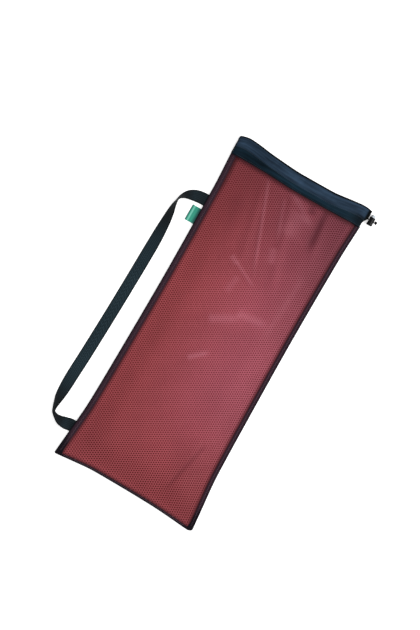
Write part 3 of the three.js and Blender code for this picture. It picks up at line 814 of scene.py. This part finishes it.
def tag(name, node, finish):
    mesh, around, along = grid_mesh(name, TAG_AROUND, TAG_ROWS, (2 * TAG_REACH, TAG_LENGTH))
    edge = float(side_edge(-1, TAG_Y))
    turn = around * 2 - 1
    reach = 1 - np.abs(turn)
    share = between(reach, 0, TAG_FOLD)
    bend = between(reach, TAG_FOLD, 1) * math.pi / 2
    half = TAG_THICK / 2 * np.sqrt(between(reach, 0, TAG_TAPER))
    middle = mix(SEAM_Z, TAG_TIP_HEIGHT, smooth((share - TAG_STRAIGHT) / (1 - TAG_STRAIGHT)))
    x = mix(STRAP_DEPTH - edge, -TAG_REACH - edge, share) - TAG_THICK / 2 * np.sin(bend)
    z = middle + np.sign(turn) * half * np.cos(bend)
    y = TAG_Y + (along - 0.5) * TAG_LENGTH
    lift = TAG_CURL * (1 + np.sin(along * TAG_WAVE["turns"] + TAG_WAVE["start"])) * share
    set_points(mesh, x, y, z + lift)
    set_attribute(mesh, "outward", reach)
    close_up(mesh, caps=True)
    return dress(name, mesh, finish, node)


# Stitches
STITCH_LENGTH = 3.2
STITCH_PITCH = 3.6
STITCH_RADIUS = 0.34
STITCH_SINK = 0.08
ZIGZAG = 1.5
TAPE_LINE = 0.64
BOTTOM_LINE = 3.6
SIDE_MARGIN = 12
BOTTOM_MARGIN = 20
HEADER_MARGIN = 3
HEADER_LINES = (0.64, 0.92)


def stitch_row(name, length):
    """A straight row of stitches along X, with its points in millimetres from the row's start."""
    bm = bmesh.new()
    bmesh.ops.create_uvsphere(bm, u_segments=8, v_segments=6, radius=1)
    bmesh.ops.scale(bm, verts=bm.verts, vec=(STITCH_LENGTH / 2, STITCH_RADIUS, STITCH_RADIUS))
    stitch = placed(name, mesh_of(bm, name))
    add_row(stitch, round(length / STITCH_PITCH), (STITCH_PITCH, 0, 0))
    mesh = made_real(stitch)
    mesh.name = name
    along, across, up = points_of(mesh).T
    return mesh, along, across, up - STITCH_SINK


def zigzag(along):
    """Sideways place of a zigzag seam, which crosses over with each stitch."""
    return ZIGZAG * (4 * np.abs(np.mod(along / (2 * STITCH_PITCH) + 0.25, 1) - 0.5) - 1)


def side_stitches(name, side, finish):
    low, high = side_span(side)
    mesh, along, across, up = stitch_row(name, high - low - SIDE_MARGIN - SIDE_TUCK)
    y = low + SIDE_MARGIN + along
    width = TAPE_WIDTH[side]
    inward = TAPE_LINE * width + across + zigzag(along)
    z = tape_top(inward, width, y) + up
    set_points(mesh, side * (half_width(y) - inward), y, z)
    return dress(name, mesh, finish)


def bottom_stitches(name, finish):
    half = float(half_width(bottom_edge(0))) - BOTTOM_MARGIN
    mesh, along, across, up = stitch_row(name, 2 * half)
    x = along - half
    inward = BOTTOM_LINE + across
    z = tape_top(inward, BOTTOM_TAPE, x) + up
    set_points(mesh, x, bottom_edge(x) + inward, z)
    return dress(name, mesh, finish)


def header_stitches(name, line, finish):
    """A row along the front of the header, at a share of the way round its section."""
    front = HEADER_RIGHT - TURN_X
    mesh, along, across, up = stitch_row(name, front - 2 * HEADER_MARGIN)
    around = (1 + line + 2 * across / HEADER_GIRTH) / 2
    (x, y, z), _, _ = header_surface(around, (along + HEADER_MARGIN) / HEADER_LENGTH)
    set_points(mesh, x, y, z + up)
    return dress(name, mesh, finish)


# Drawcord, knot and cord lock
CORD_AROUND = 14
CORD_STATIONS = 460
CORD_ROUTE_POINTS = 61
CASING_CLOTH = 1
CORD_CLEAR = 0.3
LEAD_SHARES = (0.25, 0.5, 0.75, 1, 1.5, 2)
TUBE_SIGHT = 0.002
KNOT_AROUND = 12
KNOT_STATIONS = 120
KNOT_ROUTE_POINTS = 97
KNOT_LENGTH = 30
KNOT_SIZE = (2.8, 3.4, 3.8)
KNOT_STRAND = 1.25
BARREL = {
    "radius": (0, 5.1, 6.3, 6.3, 5.8, 5.8, 6.3, 6.3, 5.7, 4.8, 4.8, 0),
    "along": (0, 0, 1.2, 2.9, 3.4, 14.1, 14.6, 16.9, 17.5, 17.5, 2.5, 2.5),
}
PLUNGER = {
    "radius": (0, 4.5, 4.5, 4.03, 2.9, 0),
    "along": (7.2, 7.2, 21.4, 22.53, 23, 23),
}
LOCK_TURN_STEPS = 48
LOCK_ROUND = 0.25
LOCK_EDGE = math.radians(30)
BARREL_HOLE = (25.2, 3.9, 7.8)
PLUNGER_WINDOW = (18, 7.6, 6.9)
PLUNGER_TRAVEL = 4


def cord_route():
    """Points of the drawcord: out of the lock, round the mouth inside the header, and back."""
    along = np.linspace(0, 1, CORD_ROUTE_POINTS)
    x, z, out_x, out_z, thick = around_mouth(along, LEAD_FROM)
    drop = (CASING_CLOTH + CORD_CLEAR + CORD / 2 - thick / 2) * out_z
    x, z = x + out_x * drop, z + out_z * drop
    shares = np.array(LEAD_SHARES)
    lead_x = np.where(shares > 1, mix(LEAD_TO, CORD_END, shares - 1), mix(LEAD_FROM, LEAD_TO, shares))
    upper = mix(z[0], LOCK_Z + STRAND_OFFSET, smooth(shares))
    lower = mix(z[-1], LOCK_Z - STRAND_OFFSET, smooth(shares))
    return np.concatenate((lead_x[::-1], x, lead_x)), np.concatenate((upper[::-1], z, lower))


def tube_points(route, radius, around, along, closed=False):
    """Points round a tube along a route, whose rows are evenly spaced along it."""
    steps = np.linalg.norm(np.diff(route, axis=0), axis=1)
    gone = np.concatenate(((0,), np.cumsum(steps)))

    def at(share):
        place = gone[-1] * (np.mod(share, 1) if closed else np.clip(share, 0, 1))
        return np.stack([np.interp(place, gone, column) for column in route.T], axis=-1)

    run = at(along + TUBE_SIGHT) - at(along - TUBE_SIGHT)
    run /= np.linalg.norm(run, axis=1)[:, None]
    side = np.cross(run, (0, 1, 0))
    side /= np.maximum(np.linalg.norm(side, axis=1), 1e-6)[:, None]
    other = np.cross(run, side)
    turn = (2 * math.pi * around)[:, None]
    return at(along) + radius * (np.cos(turn) * side + np.sin(turn) * other)


def drawcord(name, node, finish):
    x, z = cord_route()
    route = np.stack((x, np.full_like(x, CORD_Y), z), axis=-1)
    length = np.linalg.norm(np.diff(route, axis=0), axis=1).sum()
    mesh, around, along = grid_mesh(name, CORD_AROUND, CORD_STATIONS, (math.pi * CORD, length))
    set_points(mesh, *tube_points(route, CORD / 2, around, along).T)
    close_up(mesh, caps=True)
    return dress(name, mesh, finish, node)


def cord_knot(name, node, finish):
    turn = np.linspace(0, 2 * math.pi, KNOT_ROUTE_POINTS)
    across = np.sin(turn) + 2 * np.sin(2 * turn)
    up = np.cos(turn) - 2 * np.cos(2 * turn)
    loop = np.stack((-np.sin(3 * turn), across, up), axis=-1)
    room = np.array(KNOT_SIZE) - KNOT_STRAND
    route = loop / np.abs(loop).max(axis=0) * room
    map_size = (2 * math.pi * KNOT_STRAND, KNOT_LENGTH)
    mesh, around, along = grid_mesh(name, KNOT_AROUND, KNOT_STATIONS, map_size)
    points = tube_points(route, KNOT_STRAND, around, along, closed=True)
    middle = np.array((CORD_END + CORD_CLEAR + KNOT_SIZE[0], CORD_Y, LOCK_Z))
    set_points(mesh, *(points + middle).T)
    close_up(mesh)
    return dress(name, mesh, finish, node)


def turned_part(name, profile, window, window_y):
    """A part turned on the lock's axis, with a window cut through it for the cord."""
    bm = bmesh.new()
    places = zip(profile["radius"], profile["along"])
    rim = [bm.verts.new((radius, along, 0)) for radius, along in places]
    edges = [bm.edges.new(pair) for pair in zip(rim, rim[1:])]
    bmesh.ops.spin(
        bm, geom=rim + edges, cent=(0, 0, 0), axis=(0, 1, 0), angle=2 * math.pi,
        steps=LOCK_TURN_STEPS, use_merge=True,
    )
    bmesh.ops.remove_doubles(bm, verts=bm.verts, dist=1e-4)
    bmesh.ops.recalc_face_normals(bm, faces=bm.faces)
    bmesh.ops.translate(bm, verts=bm.verts, vec=(LOCK_X, LOCK_BASE_Y, LOCK_Z))
    bmesh.ops.scale(bm, verts=bm.verts, vec=(MM, MM, MM))
    part = placed(name, mesh_of(bm, name))
    bm = bmesh.new()
    bmesh.ops.create_cube(bm, size=1)
    bmesh.ops.scale(bm, verts=bm.verts, vec=Vector(window) * MM)
    bmesh.ops.translate(bm, verts=bm.verts, vec=Vector((LOCK_X, window_y, LOCK_Z)) * MM)
    cutter = placed("window", mesh_of(bm, "window"))
    modify(part, "window", "BOOLEAN", object=cutter, operation="DIFFERENCE", solver="EXACT")
    mesh = made_real(part)
    bpy.data.objects.remove(cutter)
    mesh.name = name
    return mesh


def lock_piece(name, node, profile, window, window_y, finish, body):
    mesh = turned_part(name, profile, window, window_y)
    piece = dress(name, mesh, finish, node, body=body)
    mesh.set_sharp_from_angle(angle=LOCK_EDGE)
    modify(
        piece, "rounded", "BEVEL", width=LOCK_ROUND * MM, segments=2, limit_method="ANGLE",
        angle_limit=LOCK_EDGE, harden_normals=True,
    )
    return piece


# Finishes


def add(tree, kind, inputs=None, **settings):
    """A node with its settings and inputs, each a value or another node's output."""
    made = tree.nodes.new(kind)
    set_all(made, settings)
    for key, value in (inputs or {}).items():
        if isinstance(value, bpy.types.NodeSocket):
            tree.links.new(value, made.inputs[key])
        else:
            made.inputs[key].default_value = value
    return made


def calc(tree, operation, *values):
    return add(tree, "ShaderNodeMath", dict(enumerate(values)), operation=operation).outputs[0]


def group(name, inputs, outputs):
    tree = bpy.data.node_groups.new(name, "ShaderNodeTree")
    for socket in inputs:
        kind = "NodeSocketVector" if socket == "Vector" else "NodeSocketFloat"
        tree.interface.new_socket(socket, in_out="INPUT", socket_type=kind)
    for socket in outputs:
        tree.interface.new_socket(socket, in_out="OUTPUT", socket_type="NodeSocketFloat")
    return tree, tree.nodes.new("NodeGroupInput").outputs, tree.nodes.new("NodeGroupOutput").inputs


def ribs_group():
    """Ribs across a tape, which run in a zigzag where Slant is more than 0."""
    tree, given, result = group("Ribs", ("Vector", "Pitch", "Slant", "Width"), ("Height",))
    split = add(tree, "ShaderNodeSeparateXYZ", {0: given["Vector"]}).outputs
    across = calc(tree, "DIVIDE", split["X"], given["Width"])
    zigzag = calc(tree, "PINGPONG", across, 0.5)
    lean = calc(tree, "MULTIPLY", calc(tree, "MULTIPLY", zigzag, given["Slant"]), given["Width"])
    place = calc(tree, "DIVIDE", calc(tree, "ADD", split["Y"], lean), given["Pitch"])
    wave = calc(tree, "SINE", calc(tree, "MULTIPLY", place, 2 * math.pi))
    tree.links.new(calc(tree, "MULTIPLY_ADD", wave, 0.5, 0.5), result["Height"])
    return tree


def weave_group():
    """Plain weave: threads that pass over and under each other."""
    tree, given, result = group("Weave", ("Vector", "Pitch"), ("Height",))
    split = add(tree, "ShaderNodeSeparateXYZ", {0: given["Vector"]}).outputs
    turns = []
    for axis in ("X", "Y"):
        place = calc(tree, "DIVIDE", split[axis], given["Pitch"])
        turns.append(calc(tree, "SINE", calc(tree, "MULTIPLY", place, math.pi)))
    over = calc(tree, "MULTIPLY", turns[0], turns[1])
    warp = calc(tree, "ABSOLUTE", turns[0])
    weft = calc(tree, "ABSOLUTE", turns[1])
    share = calc(tree, "MULTIPLY_ADD", over, 0.5, 0.5)
    blend = add(tree, "ShaderNodeMix", {"Factor": share, 2: warp, 3: weft}).outputs[0]
    tree.links.new(blend, result["Height"])
    return tree


def tone_group():
    """Uneven tone of dyed cloth: broad patches and fine flecks, about 1."""
    tree, given, result = group("Tone", ("Patch", "Fleck"), ("Tone", "Flecks"))
    place = add(tree, "ShaderNodeTexCoord").outputs["Object"]
    broad = add(tree, "ShaderNodeTexNoise", {"Vector": place, "Scale": 14, "Detail": 3}).outputs[0]
    fine = add(tree, "ShaderNodeTexNoise", {"Vector": place, "Scale": 900, "Detail": 2}).outputs[0]
    patches = calc(tree, "MULTIPLY", calc(tree, "SUBTRACT", broad, 0.5), given["Patch"])
    flecks = calc(tree, "MULTIPLY", calc(tree, "SUBTRACT", fine, 0.5), given["Fleck"])
    tree.links.new(calc(tree, "ADD", calc(tree, "ADD", patches, flecks), 1), result["Tone"])
    tree.links.new(fine, result["Flecks"])
    return tree


def place_group(tree, shared, inputs):
    return add(tree, "ShaderNodeGroup", inputs, node_tree=shared).outputs


def new_finish(name, **values):
    """A material and its tree, with plain values set on the surface shader."""
    finish = bpy.data.materials.new(name)
    finish.use_nodes = True
    surface = finish.node_tree.nodes["Principled BSDF"]
    for socket, value in values.items():
        surface.inputs[socket.replace("_", " ")].default_value = value
    return finish, finish.node_tree, surface.inputs


def scaled_colour(tree, colour, tone):
    return add(tree, "ShaderNodeVectorMath", {0: colour, "Scale": tone}, operation="SCALE").outputs[0]


def mixed_colour(tree, share, a, b):
    a, b = (end if isinstance(end, bpy.types.NodeSocket) else (*end, 1) for end in (a, b))
    return add(tree, "ShaderNodeMix", {"Factor": share, 6: a, 7: b}, data_type="RGBA").outputs[2]


def eased(tree, span):
    """A value brought smoothly from one range to another."""
    return add(tree, "ShaderNodeMapRange", span, interpolation_type="SMOOTHSTEP").outputs[0]


def cover(tree, surface, colour, shade, height, strength, distance):
    """Gives a surface its colour, scaled by its shade, and its relief."""
    tree.links.new(scaled_colour(tree, colour, shade), surface["Base Color"])
    inputs = {"Height": height, "Strength": strength, "Distance": distance}
    tree.links.new(add(tree, "ShaderNodeBump", inputs).outputs["Normal"], surface["Normal"])


def attribute(tree, name):
    return add(tree, "ShaderNodeAttribute", attribute_name=name).outputs["Fac"]


def uv(tree):
    return add(tree, "ShaderNodeUVMap", uv_map="UVMap").outputs["UV"]


# Colours and patterns
NET_RED = (0.35, 0.066, 0.074)
# Pinker, lighter red of painted sheen on the net
NET_SHEEN_PINK = (0.385, 0.088, 0.119)
# Painted highlight along the crests of the net's creases
NET_CREST_HIGHLIGHT = (0.45, 0.16, 0.2)
CREST_HIGHLIGHT_SHARE = 0.5
# Painted shade on the strands' flanks round each hole
NET_HOLE_SHADE = (0.045, 0.001, 0.002)
NET_SHADE = (0.05, 0.012, 0.02)
# Painted shade where the net dips into its seams
NET_SEAM_SHADE = (0.05, 0.008, 0.012)
NAVY = (0.017, 0.032, 0.055)
# The header's navy darkened as painted shade on the hem
HEM_SHADE_NAVY = (0.005, 0.0155, 0.026)
# Lengthwise streaks of painted sheen on the header's nylon
STREAK_SCALE = (220, 16, 1)
STREAK_DEPTH = 2.4
# Painted shade at the header's folds, edges and ends
FOLD_SHADE = (0.001, 0.0015, 0.002)
TAPE_BLACK = (0.008, 0.006, 0.009)
# Plum colour of the tape inwards from its outer fold
TAPE_INNER_PLUM = (0.032, 0.0165, 0.0245)
WEBBING_BLACK = (0.015, 0.027, 0.034)
# Painted shade where the strap stands on edge
WEBBING_SHADE = (0.009, 0.0115, 0.0135)
WEBBING_ROWS = {"count": 7, "light": 0.3, "height": 0.4}
# Painted shade along the strap's edges
EDGE_SHADE_RANGE = {"From Min": 0.38, "From Max": 0.48, "To Min": 1, "To Max": 0.25}
# Painted shade in the grooves between ribs
RIB_DARK = 0.7
RIB_LIGHT = 0.5
TAPE_RIBS = {"Pitch": 0.0012, "Slant": 0, "Width": 0.01}
WEBBING_RIBS = {"Pitch": 0.0022, "Slant": 1, "Width": 0.004}
CORD_RIBS = {"Pitch": 0.0016, "Slant": 1, "Width": 0.0024}
TAPE_THREAD = (0.11, 0.06, 0.085)
HEADER_THREAD = (0.014, 0.022, 0.032)
# Tag: painted shade by the seam and at its folded edge, and a painted highlight near the fold
TAG_GREEN = (0.03, 0.29, 0.2)
TAG_HIGHLIGHT = (0.2, 0.6, 0.47)
TAG_SHADE = (0.004, 0.085, 0.07)
TAG_STOPS = ((0.0, TAG_SHADE), (0.22, TAG_SHADE), (0.42, TAG_GREEN), (0.6, TAG_GREEN), (0.72, TAG_HIGHLIGHT),
             (0.84, TAG_GREEN), (0.95, TAG_SHADE))
# Painted shade between the tag's threads
TAG_WEAVE = {"dark": 0.85, "light": 0.25}
CORD_BLACK = (0.004, 0.004, 0.005)
BARREL_BLACK = (0.003, 0.003, 0.004)
PLUNGER_GREY = (0.42, 0.46, 0.5)


def net_finish(shared):
    finish, tree, surface = new_finish("net_yarn", Roughness=0.6, Specular_IOR_Level=0.1)
    tone = place_group(tree, shared["tone"], {"Patch": 0.35, "Fleck": 0.5})
    # Painted sheen
    colour = mixed_colour(tree, attribute(tree, "painted_sheen"), NET_RED, NET_SHEEN_PINK)
    # Painted highlight on the creases' crests
    crest = calc(tree, "MULTIPLY", attribute(tree, "crest"), CREST_HIGHLIGHT_SHARE)
    colour = mixed_colour(tree, crest, colour, NET_CREST_HIGHLIGHT)
    # Painted shade on the flanks round each hole
    edge = eased(tree, {"Value": attribute(tree, "rim"), "From Min": 0.3, "From Max": 0.8})
    colour = mixed_colour(tree, attribute(tree, "shaded"), colour, NET_SHADE)
    colour = mixed_colour(tree, edge, colour, NET_HOLE_SHADE)
    # Painted shade by the seams
    colour = mixed_colour(tree, attribute(tree, "near_seam"), colour, NET_SEAM_SHADE)
    cover(tree, surface, colour, tone["Tone"], tone["Flecks"], strength=0.35, distance=0.0002)
    return finish


def header_finish(shared):
    finish, tree, surface = new_finish("header_cloth", Roughness=0.5, Specular_IOR_Level=0.03)
    tone = place_group(tree, shared["tone"], {"Patch": 1.1, "Fleck": 0.3})
    weave = place_group(tree, shared["weave"], {"Vector": uv(tree), "Pitch": 0.0007})
    stretch = add(tree, "ShaderNodeMapping", {"Vector": uv(tree), "Scale": STREAK_SCALE}).outputs[0]
    streaks = add(tree, "ShaderNodeTexNoise", {"Vector": stretch, "Scale": 1, "Detail": 4}).outputs[0]
    colour = mixed_colour(tree, attribute(tree, "hem"), NAVY, HEM_SHADE_NAVY)
    # Painted shade at the folds, edges and ends
    colour = mixed_colour(tree, attribute(tree, "painted_shade"), colour, FOLD_SHADE)
    # Painted sheen in lengthwise streaks
    sheen_streaks = calc(tree, "MULTIPLY_ADD", streaks, STREAK_DEPTH, 1 - STREAK_DEPTH / 2)
    shade = calc(tree, "MULTIPLY", tone["Tone"], sheen_streaks)
    cover(tree, surface, colour, shade, weave["Height"], strength=0.3, distance=0.0003)
    return finish


def ribbed(tree, shared, ribs):
    """Height of a band's ribs, and the painted shade that darkens the grooves between them."""
    height = place_group(tree, shared["ribs"], {"Vector": uv(tree), **ribs})["Height"]
    return height, calc(tree, "MULTIPLY_ADD", height, RIB_LIGHT, RIB_DARK)


def cord_finish(shared):
    finish, tree, surface = new_finish("braided_cord", Roughness=0.7, Specular_IOR_Level=0.1)
    tone = place_group(tree, shared["tone"], {"Patch": 0.4, "Fleck": 0.4})
    ribs, depth = ribbed(tree, shared, CORD_RIBS)
    shade = calc(tree, "MULTIPLY", tone["Tone"], depth)
    cover(tree, surface, CORD_BLACK, shade, ribs, strength=0.6, distance=0.0004)
    return finish


def tape_finish(shared):
    """Black ribbed tape, lighter and plum-coloured inwards from its outer fold."""
    finish, tree, surface = new_finish("grosgrain_tape", Roughness=0.8, Specular_IOR_Level=0.03)
    tone = place_group(tree, shared["tone"], {"Patch": 0.5, "Fleck": 0.5})
    ribs, depth = ribbed(tree, shared, TAPE_RIBS)
    colour = mixed_colour(tree, attribute(tree, "inward"), TAPE_BLACK, TAPE_INNER_PLUM)
    shade = calc(tree, "MULTIPLY", tone["Tone"], depth)
    cover(tree, surface, colour, shade, ribs, strength=0.6, distance=0.0004)
    return finish


def webbing_finish(shared):
    """Black webbing: slanted ribs in lengthwise rows, and painted shade along its edges."""
    finish, tree, surface = new_finish("webbing_black", Roughness=0.65, Specular_IOR_Level=0.03)
    tone = place_group(tree, shared["tone"], {"Patch": 0.5, "Fleck": 0.4})
    ribs, depth = ribbed(tree, shared, WEBBING_RIBS)
    across = attribute(tree, "across")
    rows = calc(tree, "SINE", calc(tree, "MULTIPLY", across, WEBBING_ROWS["count"] * 2 * math.pi))
    out = calc(tree, "ABSOLUTE", across)
    edge_shade = eased(tree, {"Value": out, **EDGE_SHADE_RANGE})
    depth = calc(tree, "MULTIPLY", depth, calc(tree, "MULTIPLY_ADD", rows, WEBBING_ROWS["light"], 1))
    shade = calc(tree, "MULTIPLY", calc(tree, "MULTIPLY", tone["Tone"], depth), edge_shade)
    colour = mixed_colour(tree, attribute(tree, "twisted"), WEBBING_BLACK, WEBBING_SHADE)
    height = calc(tree, "MULTIPLY_ADD", rows, WEBBING_ROWS["height"], ribs)
    cover(tree, surface, colour, shade, height, strength=0.6, distance=0.0004)
    return finish


def thread_finish(shared, name, colour):
    finish, tree, surface = new_finish(name, Roughness=0.5, Specular_IOR_Level=0.3)
    tone = place_group(tree, shared["tone"], {"Patch": 0.3, "Fleck": 0.8})
    cover(tree, surface, colour, tone["Tone"], tone["Flecks"], strength=0.4, distance=0.0002)
    return finish


def tag_finish(shared):
    finish, tree, surface = new_finish("tag_cloth", Roughness=0.5, Specular_IOR_Level=0.25)
    tone = place_group(tree, shared["tone"], {"Patch": 0.15, "Fleck": 0.2})
    weave = place_group(tree, shared["weave"], {"Vector": uv(tree), "Pitch": 0.0005})
    # Painted shade in the weave's hollows
    depth = calc(tree, "MULTIPLY_ADD", weave["Height"], TAG_WEAVE["light"], TAG_WEAVE["dark"])
    shade = calc(tree, "MULTIPLY", tone["Tone"], depth)
    # Painted shade by the seam and at the fold, and a painted highlight near the fold
    ramp = add(tree, "ShaderNodeValToRGB", {"Fac": attribute(tree, "outward")})
    stops = ramp.color_ramp.elements
    for _ in TAG_STOPS[2:]:
        stops.new(0.5)
    for stop, (place, colour) in zip(stops, TAG_STOPS):
        stop.position = place
        stop.color = (*colour, 1)
    cover(tree, surface, ramp.outputs[0], shade, weave["Height"], strength=0.4, distance=0.0002)
    return finish


def moulded_finish(shared, name, colour, rough, gloss):
    coat = {"Coat_Weight": gloss, "Coat_Roughness": 0.12}
    finish, tree, surface = new_finish(name, Specular_IOR_Level=gloss, **coat)
    tone = place_group(tree, shared["tone"], {"Patch": 0.15, "Fleck": 0.1})
    tree.links.new(calc(tree, "MULTIPLY", tone["Tone"], rough), surface["Roughness"])
    cover(tree, surface, colour, tone["Tone"], tone["Flecks"], strength=0.05, distance=0.0001)
    return finish


# Floor and light
FLOOR_HALF = 4
FLOOR_GRAIN = 0.01
FLOOR_WHITE = (0.93, 0.93, 0.935)
SKY = (1, 1, 1)
SKY_STRENGTH = 0.75
FLOOR_GLOW = 0.5
# The floor's glow fades out under the bag: painted shadow
BAG_MIDDLE = (0, -0.018, 0)
BAG_HALF = (0.145, 0.345)
BAG_SHADE = 0.03
KEY = {"place": (1.8, 0.6, 2.0), "aim": (0, 0, 0), "size": 1.3, "power": 55}


def floor_and_light():
    bm = bmesh.new()
    bmesh.ops.create_grid(bm, x_segments=1, y_segments=1, size=FLOOR_HALF)
    mesh = mesh_of(bm, "floor")
    floor = placed("floor", mesh)
    finish, tree, surface = new_finish("floor_white", Roughness=0.9, Emission_Strength=FLOOR_GLOW)
    place = add(tree, "ShaderNodeTexCoord").outputs["Object"]
    # No glow under the bag: painted shadow
    away = add(tree, "ShaderNodeVectorMath", {0: place, 1: BAG_MIDDLE}, operation="SUBTRACT").outputs[0]
    away = add(tree, "ShaderNodeSeparateXYZ", {0: away}).outputs
    clear = []
    for axis, half in zip(("X", "Y"), BAG_HALF):
        beside = calc(tree, "ABSOLUTE", away[axis])
        clear.append(eased(tree, {"Value": beside, "From Min": half - BAG_SHADE, "From Max": half}))
    clear = calc(tree, "MAXIMUM", *clear)
    tree.links.new(scaled_colour(tree, SKY, clear), surface["Emission Color"])
    grain = add(tree, "ShaderNodeTexNoise", {"Vector": place, "Scale": 60}).outputs[0]
    tone = calc(tree, "MULTIPLY_ADD", grain, FLOOR_GRAIN, 1 - FLOOR_GRAIN / 2)
    tree.links.new(scaled_colour(tree, FLOOR_WHITE, tone), surface["Base Color"])
    mesh.materials.append(finish)
    scene = bpy.context.scene
    scene.world = bpy.data.worlds.new("studio")
    scene.world.use_nodes = True
    sky = scene.world.node_tree.nodes["Background"].inputs
    sky["Color"].default_value = (*SKY, 1)
    sky["Strength"].default_value = SKY_STRENGTH
    lamp = bpy.data.lights.new("key", "AREA")
    lamp.shape = "DISK"
    lamp.size = KEY["size"]
    lamp.energy = KEY["power"]
    holder = placed("key", lamp)
    holder.location = KEY["place"]
    aim = Vector(KEY["aim"]) - Vector(KEY["place"])
    holder.rotation_euler = aim.to_track_quat("-Z", "Y").to_euler()
    scene.view_settings.view_transform = "Standard"
    scene.view_settings.look = "None"


def finishes():
    """Every finish of the bag, by name, made from the shared effects."""
    shared = {"ribs": ribs_group(), "weave": weave_group(), "tone": tone_group()}
    return {
        "net": net_finish(shared),
        "header": header_finish(shared),
        "tape": tape_finish(shared),
        "webbing": webbing_finish(shared),
        "tape_thread": thread_finish(shared, "tape_thread", TAPE_THREAD),
        "header_thread": thread_finish(shared, "header_thread", HEADER_THREAD),
        "tag": tag_finish(shared),
        "cord": cord_finish(shared),
        "barrel": moulded_finish(shared, "barrel_black", BARREL_BLACK, rough=0.35, gloss=0.06),
        "plunger": moulded_finish(shared, "plunger_grey", PLUNGER_GREY, rough=0.25, gloss=0.5),
    }


set_camera()
finish = finishes()
drawcord("drawcord_braid", "drawcord", finish["cord"])
cord_knot("knotted_cord", "cord_knot", finish["cord"])
net_panel("back_net", "back_panel", back_height, -1, finish["net"])
net_panel("front_net", "front_panel", front_height, 1, finish["net"])
header("header_casing", "header", finish["header"])
side_binding("left_tape", "left_binding", -1, finish["tape"])
side_binding("right_tape", "right_binding", 1, finish["tape"])
bottom_binding("bottom_tape", "bottom_binding", finish["tape"])
side_stitches("left_stitches", -1, finish["tape_thread"])
side_stitches("right_stitches", 1, finish["tape_thread"])
bottom_stitches("bottom_stitches", finish["tape_thread"])
for row, line in zip(("casing", "hem"), HEADER_LINES):
    header_stitches(row + "_stitches", line, finish["header_thread"])
shoulder_strap("strap_webbing", "shoulder_strap", finish["webbing"])
tag("folded_tag", "label", finish["tag"])
lock_piece("lock_barrel", "cord_lock_barrel", BARREL, BARREL_HOLE, CORD_Y, finish["barrel"], "bag")
lock_piece(
    "lock_plunger", "cord_lock_plunger", PLUNGER, PLUNGER_WINDOW, CORD_Y + PLUNGER_TRAVEL / 2,
    finish["plunger"], "plunger",
)
floor_and_light()
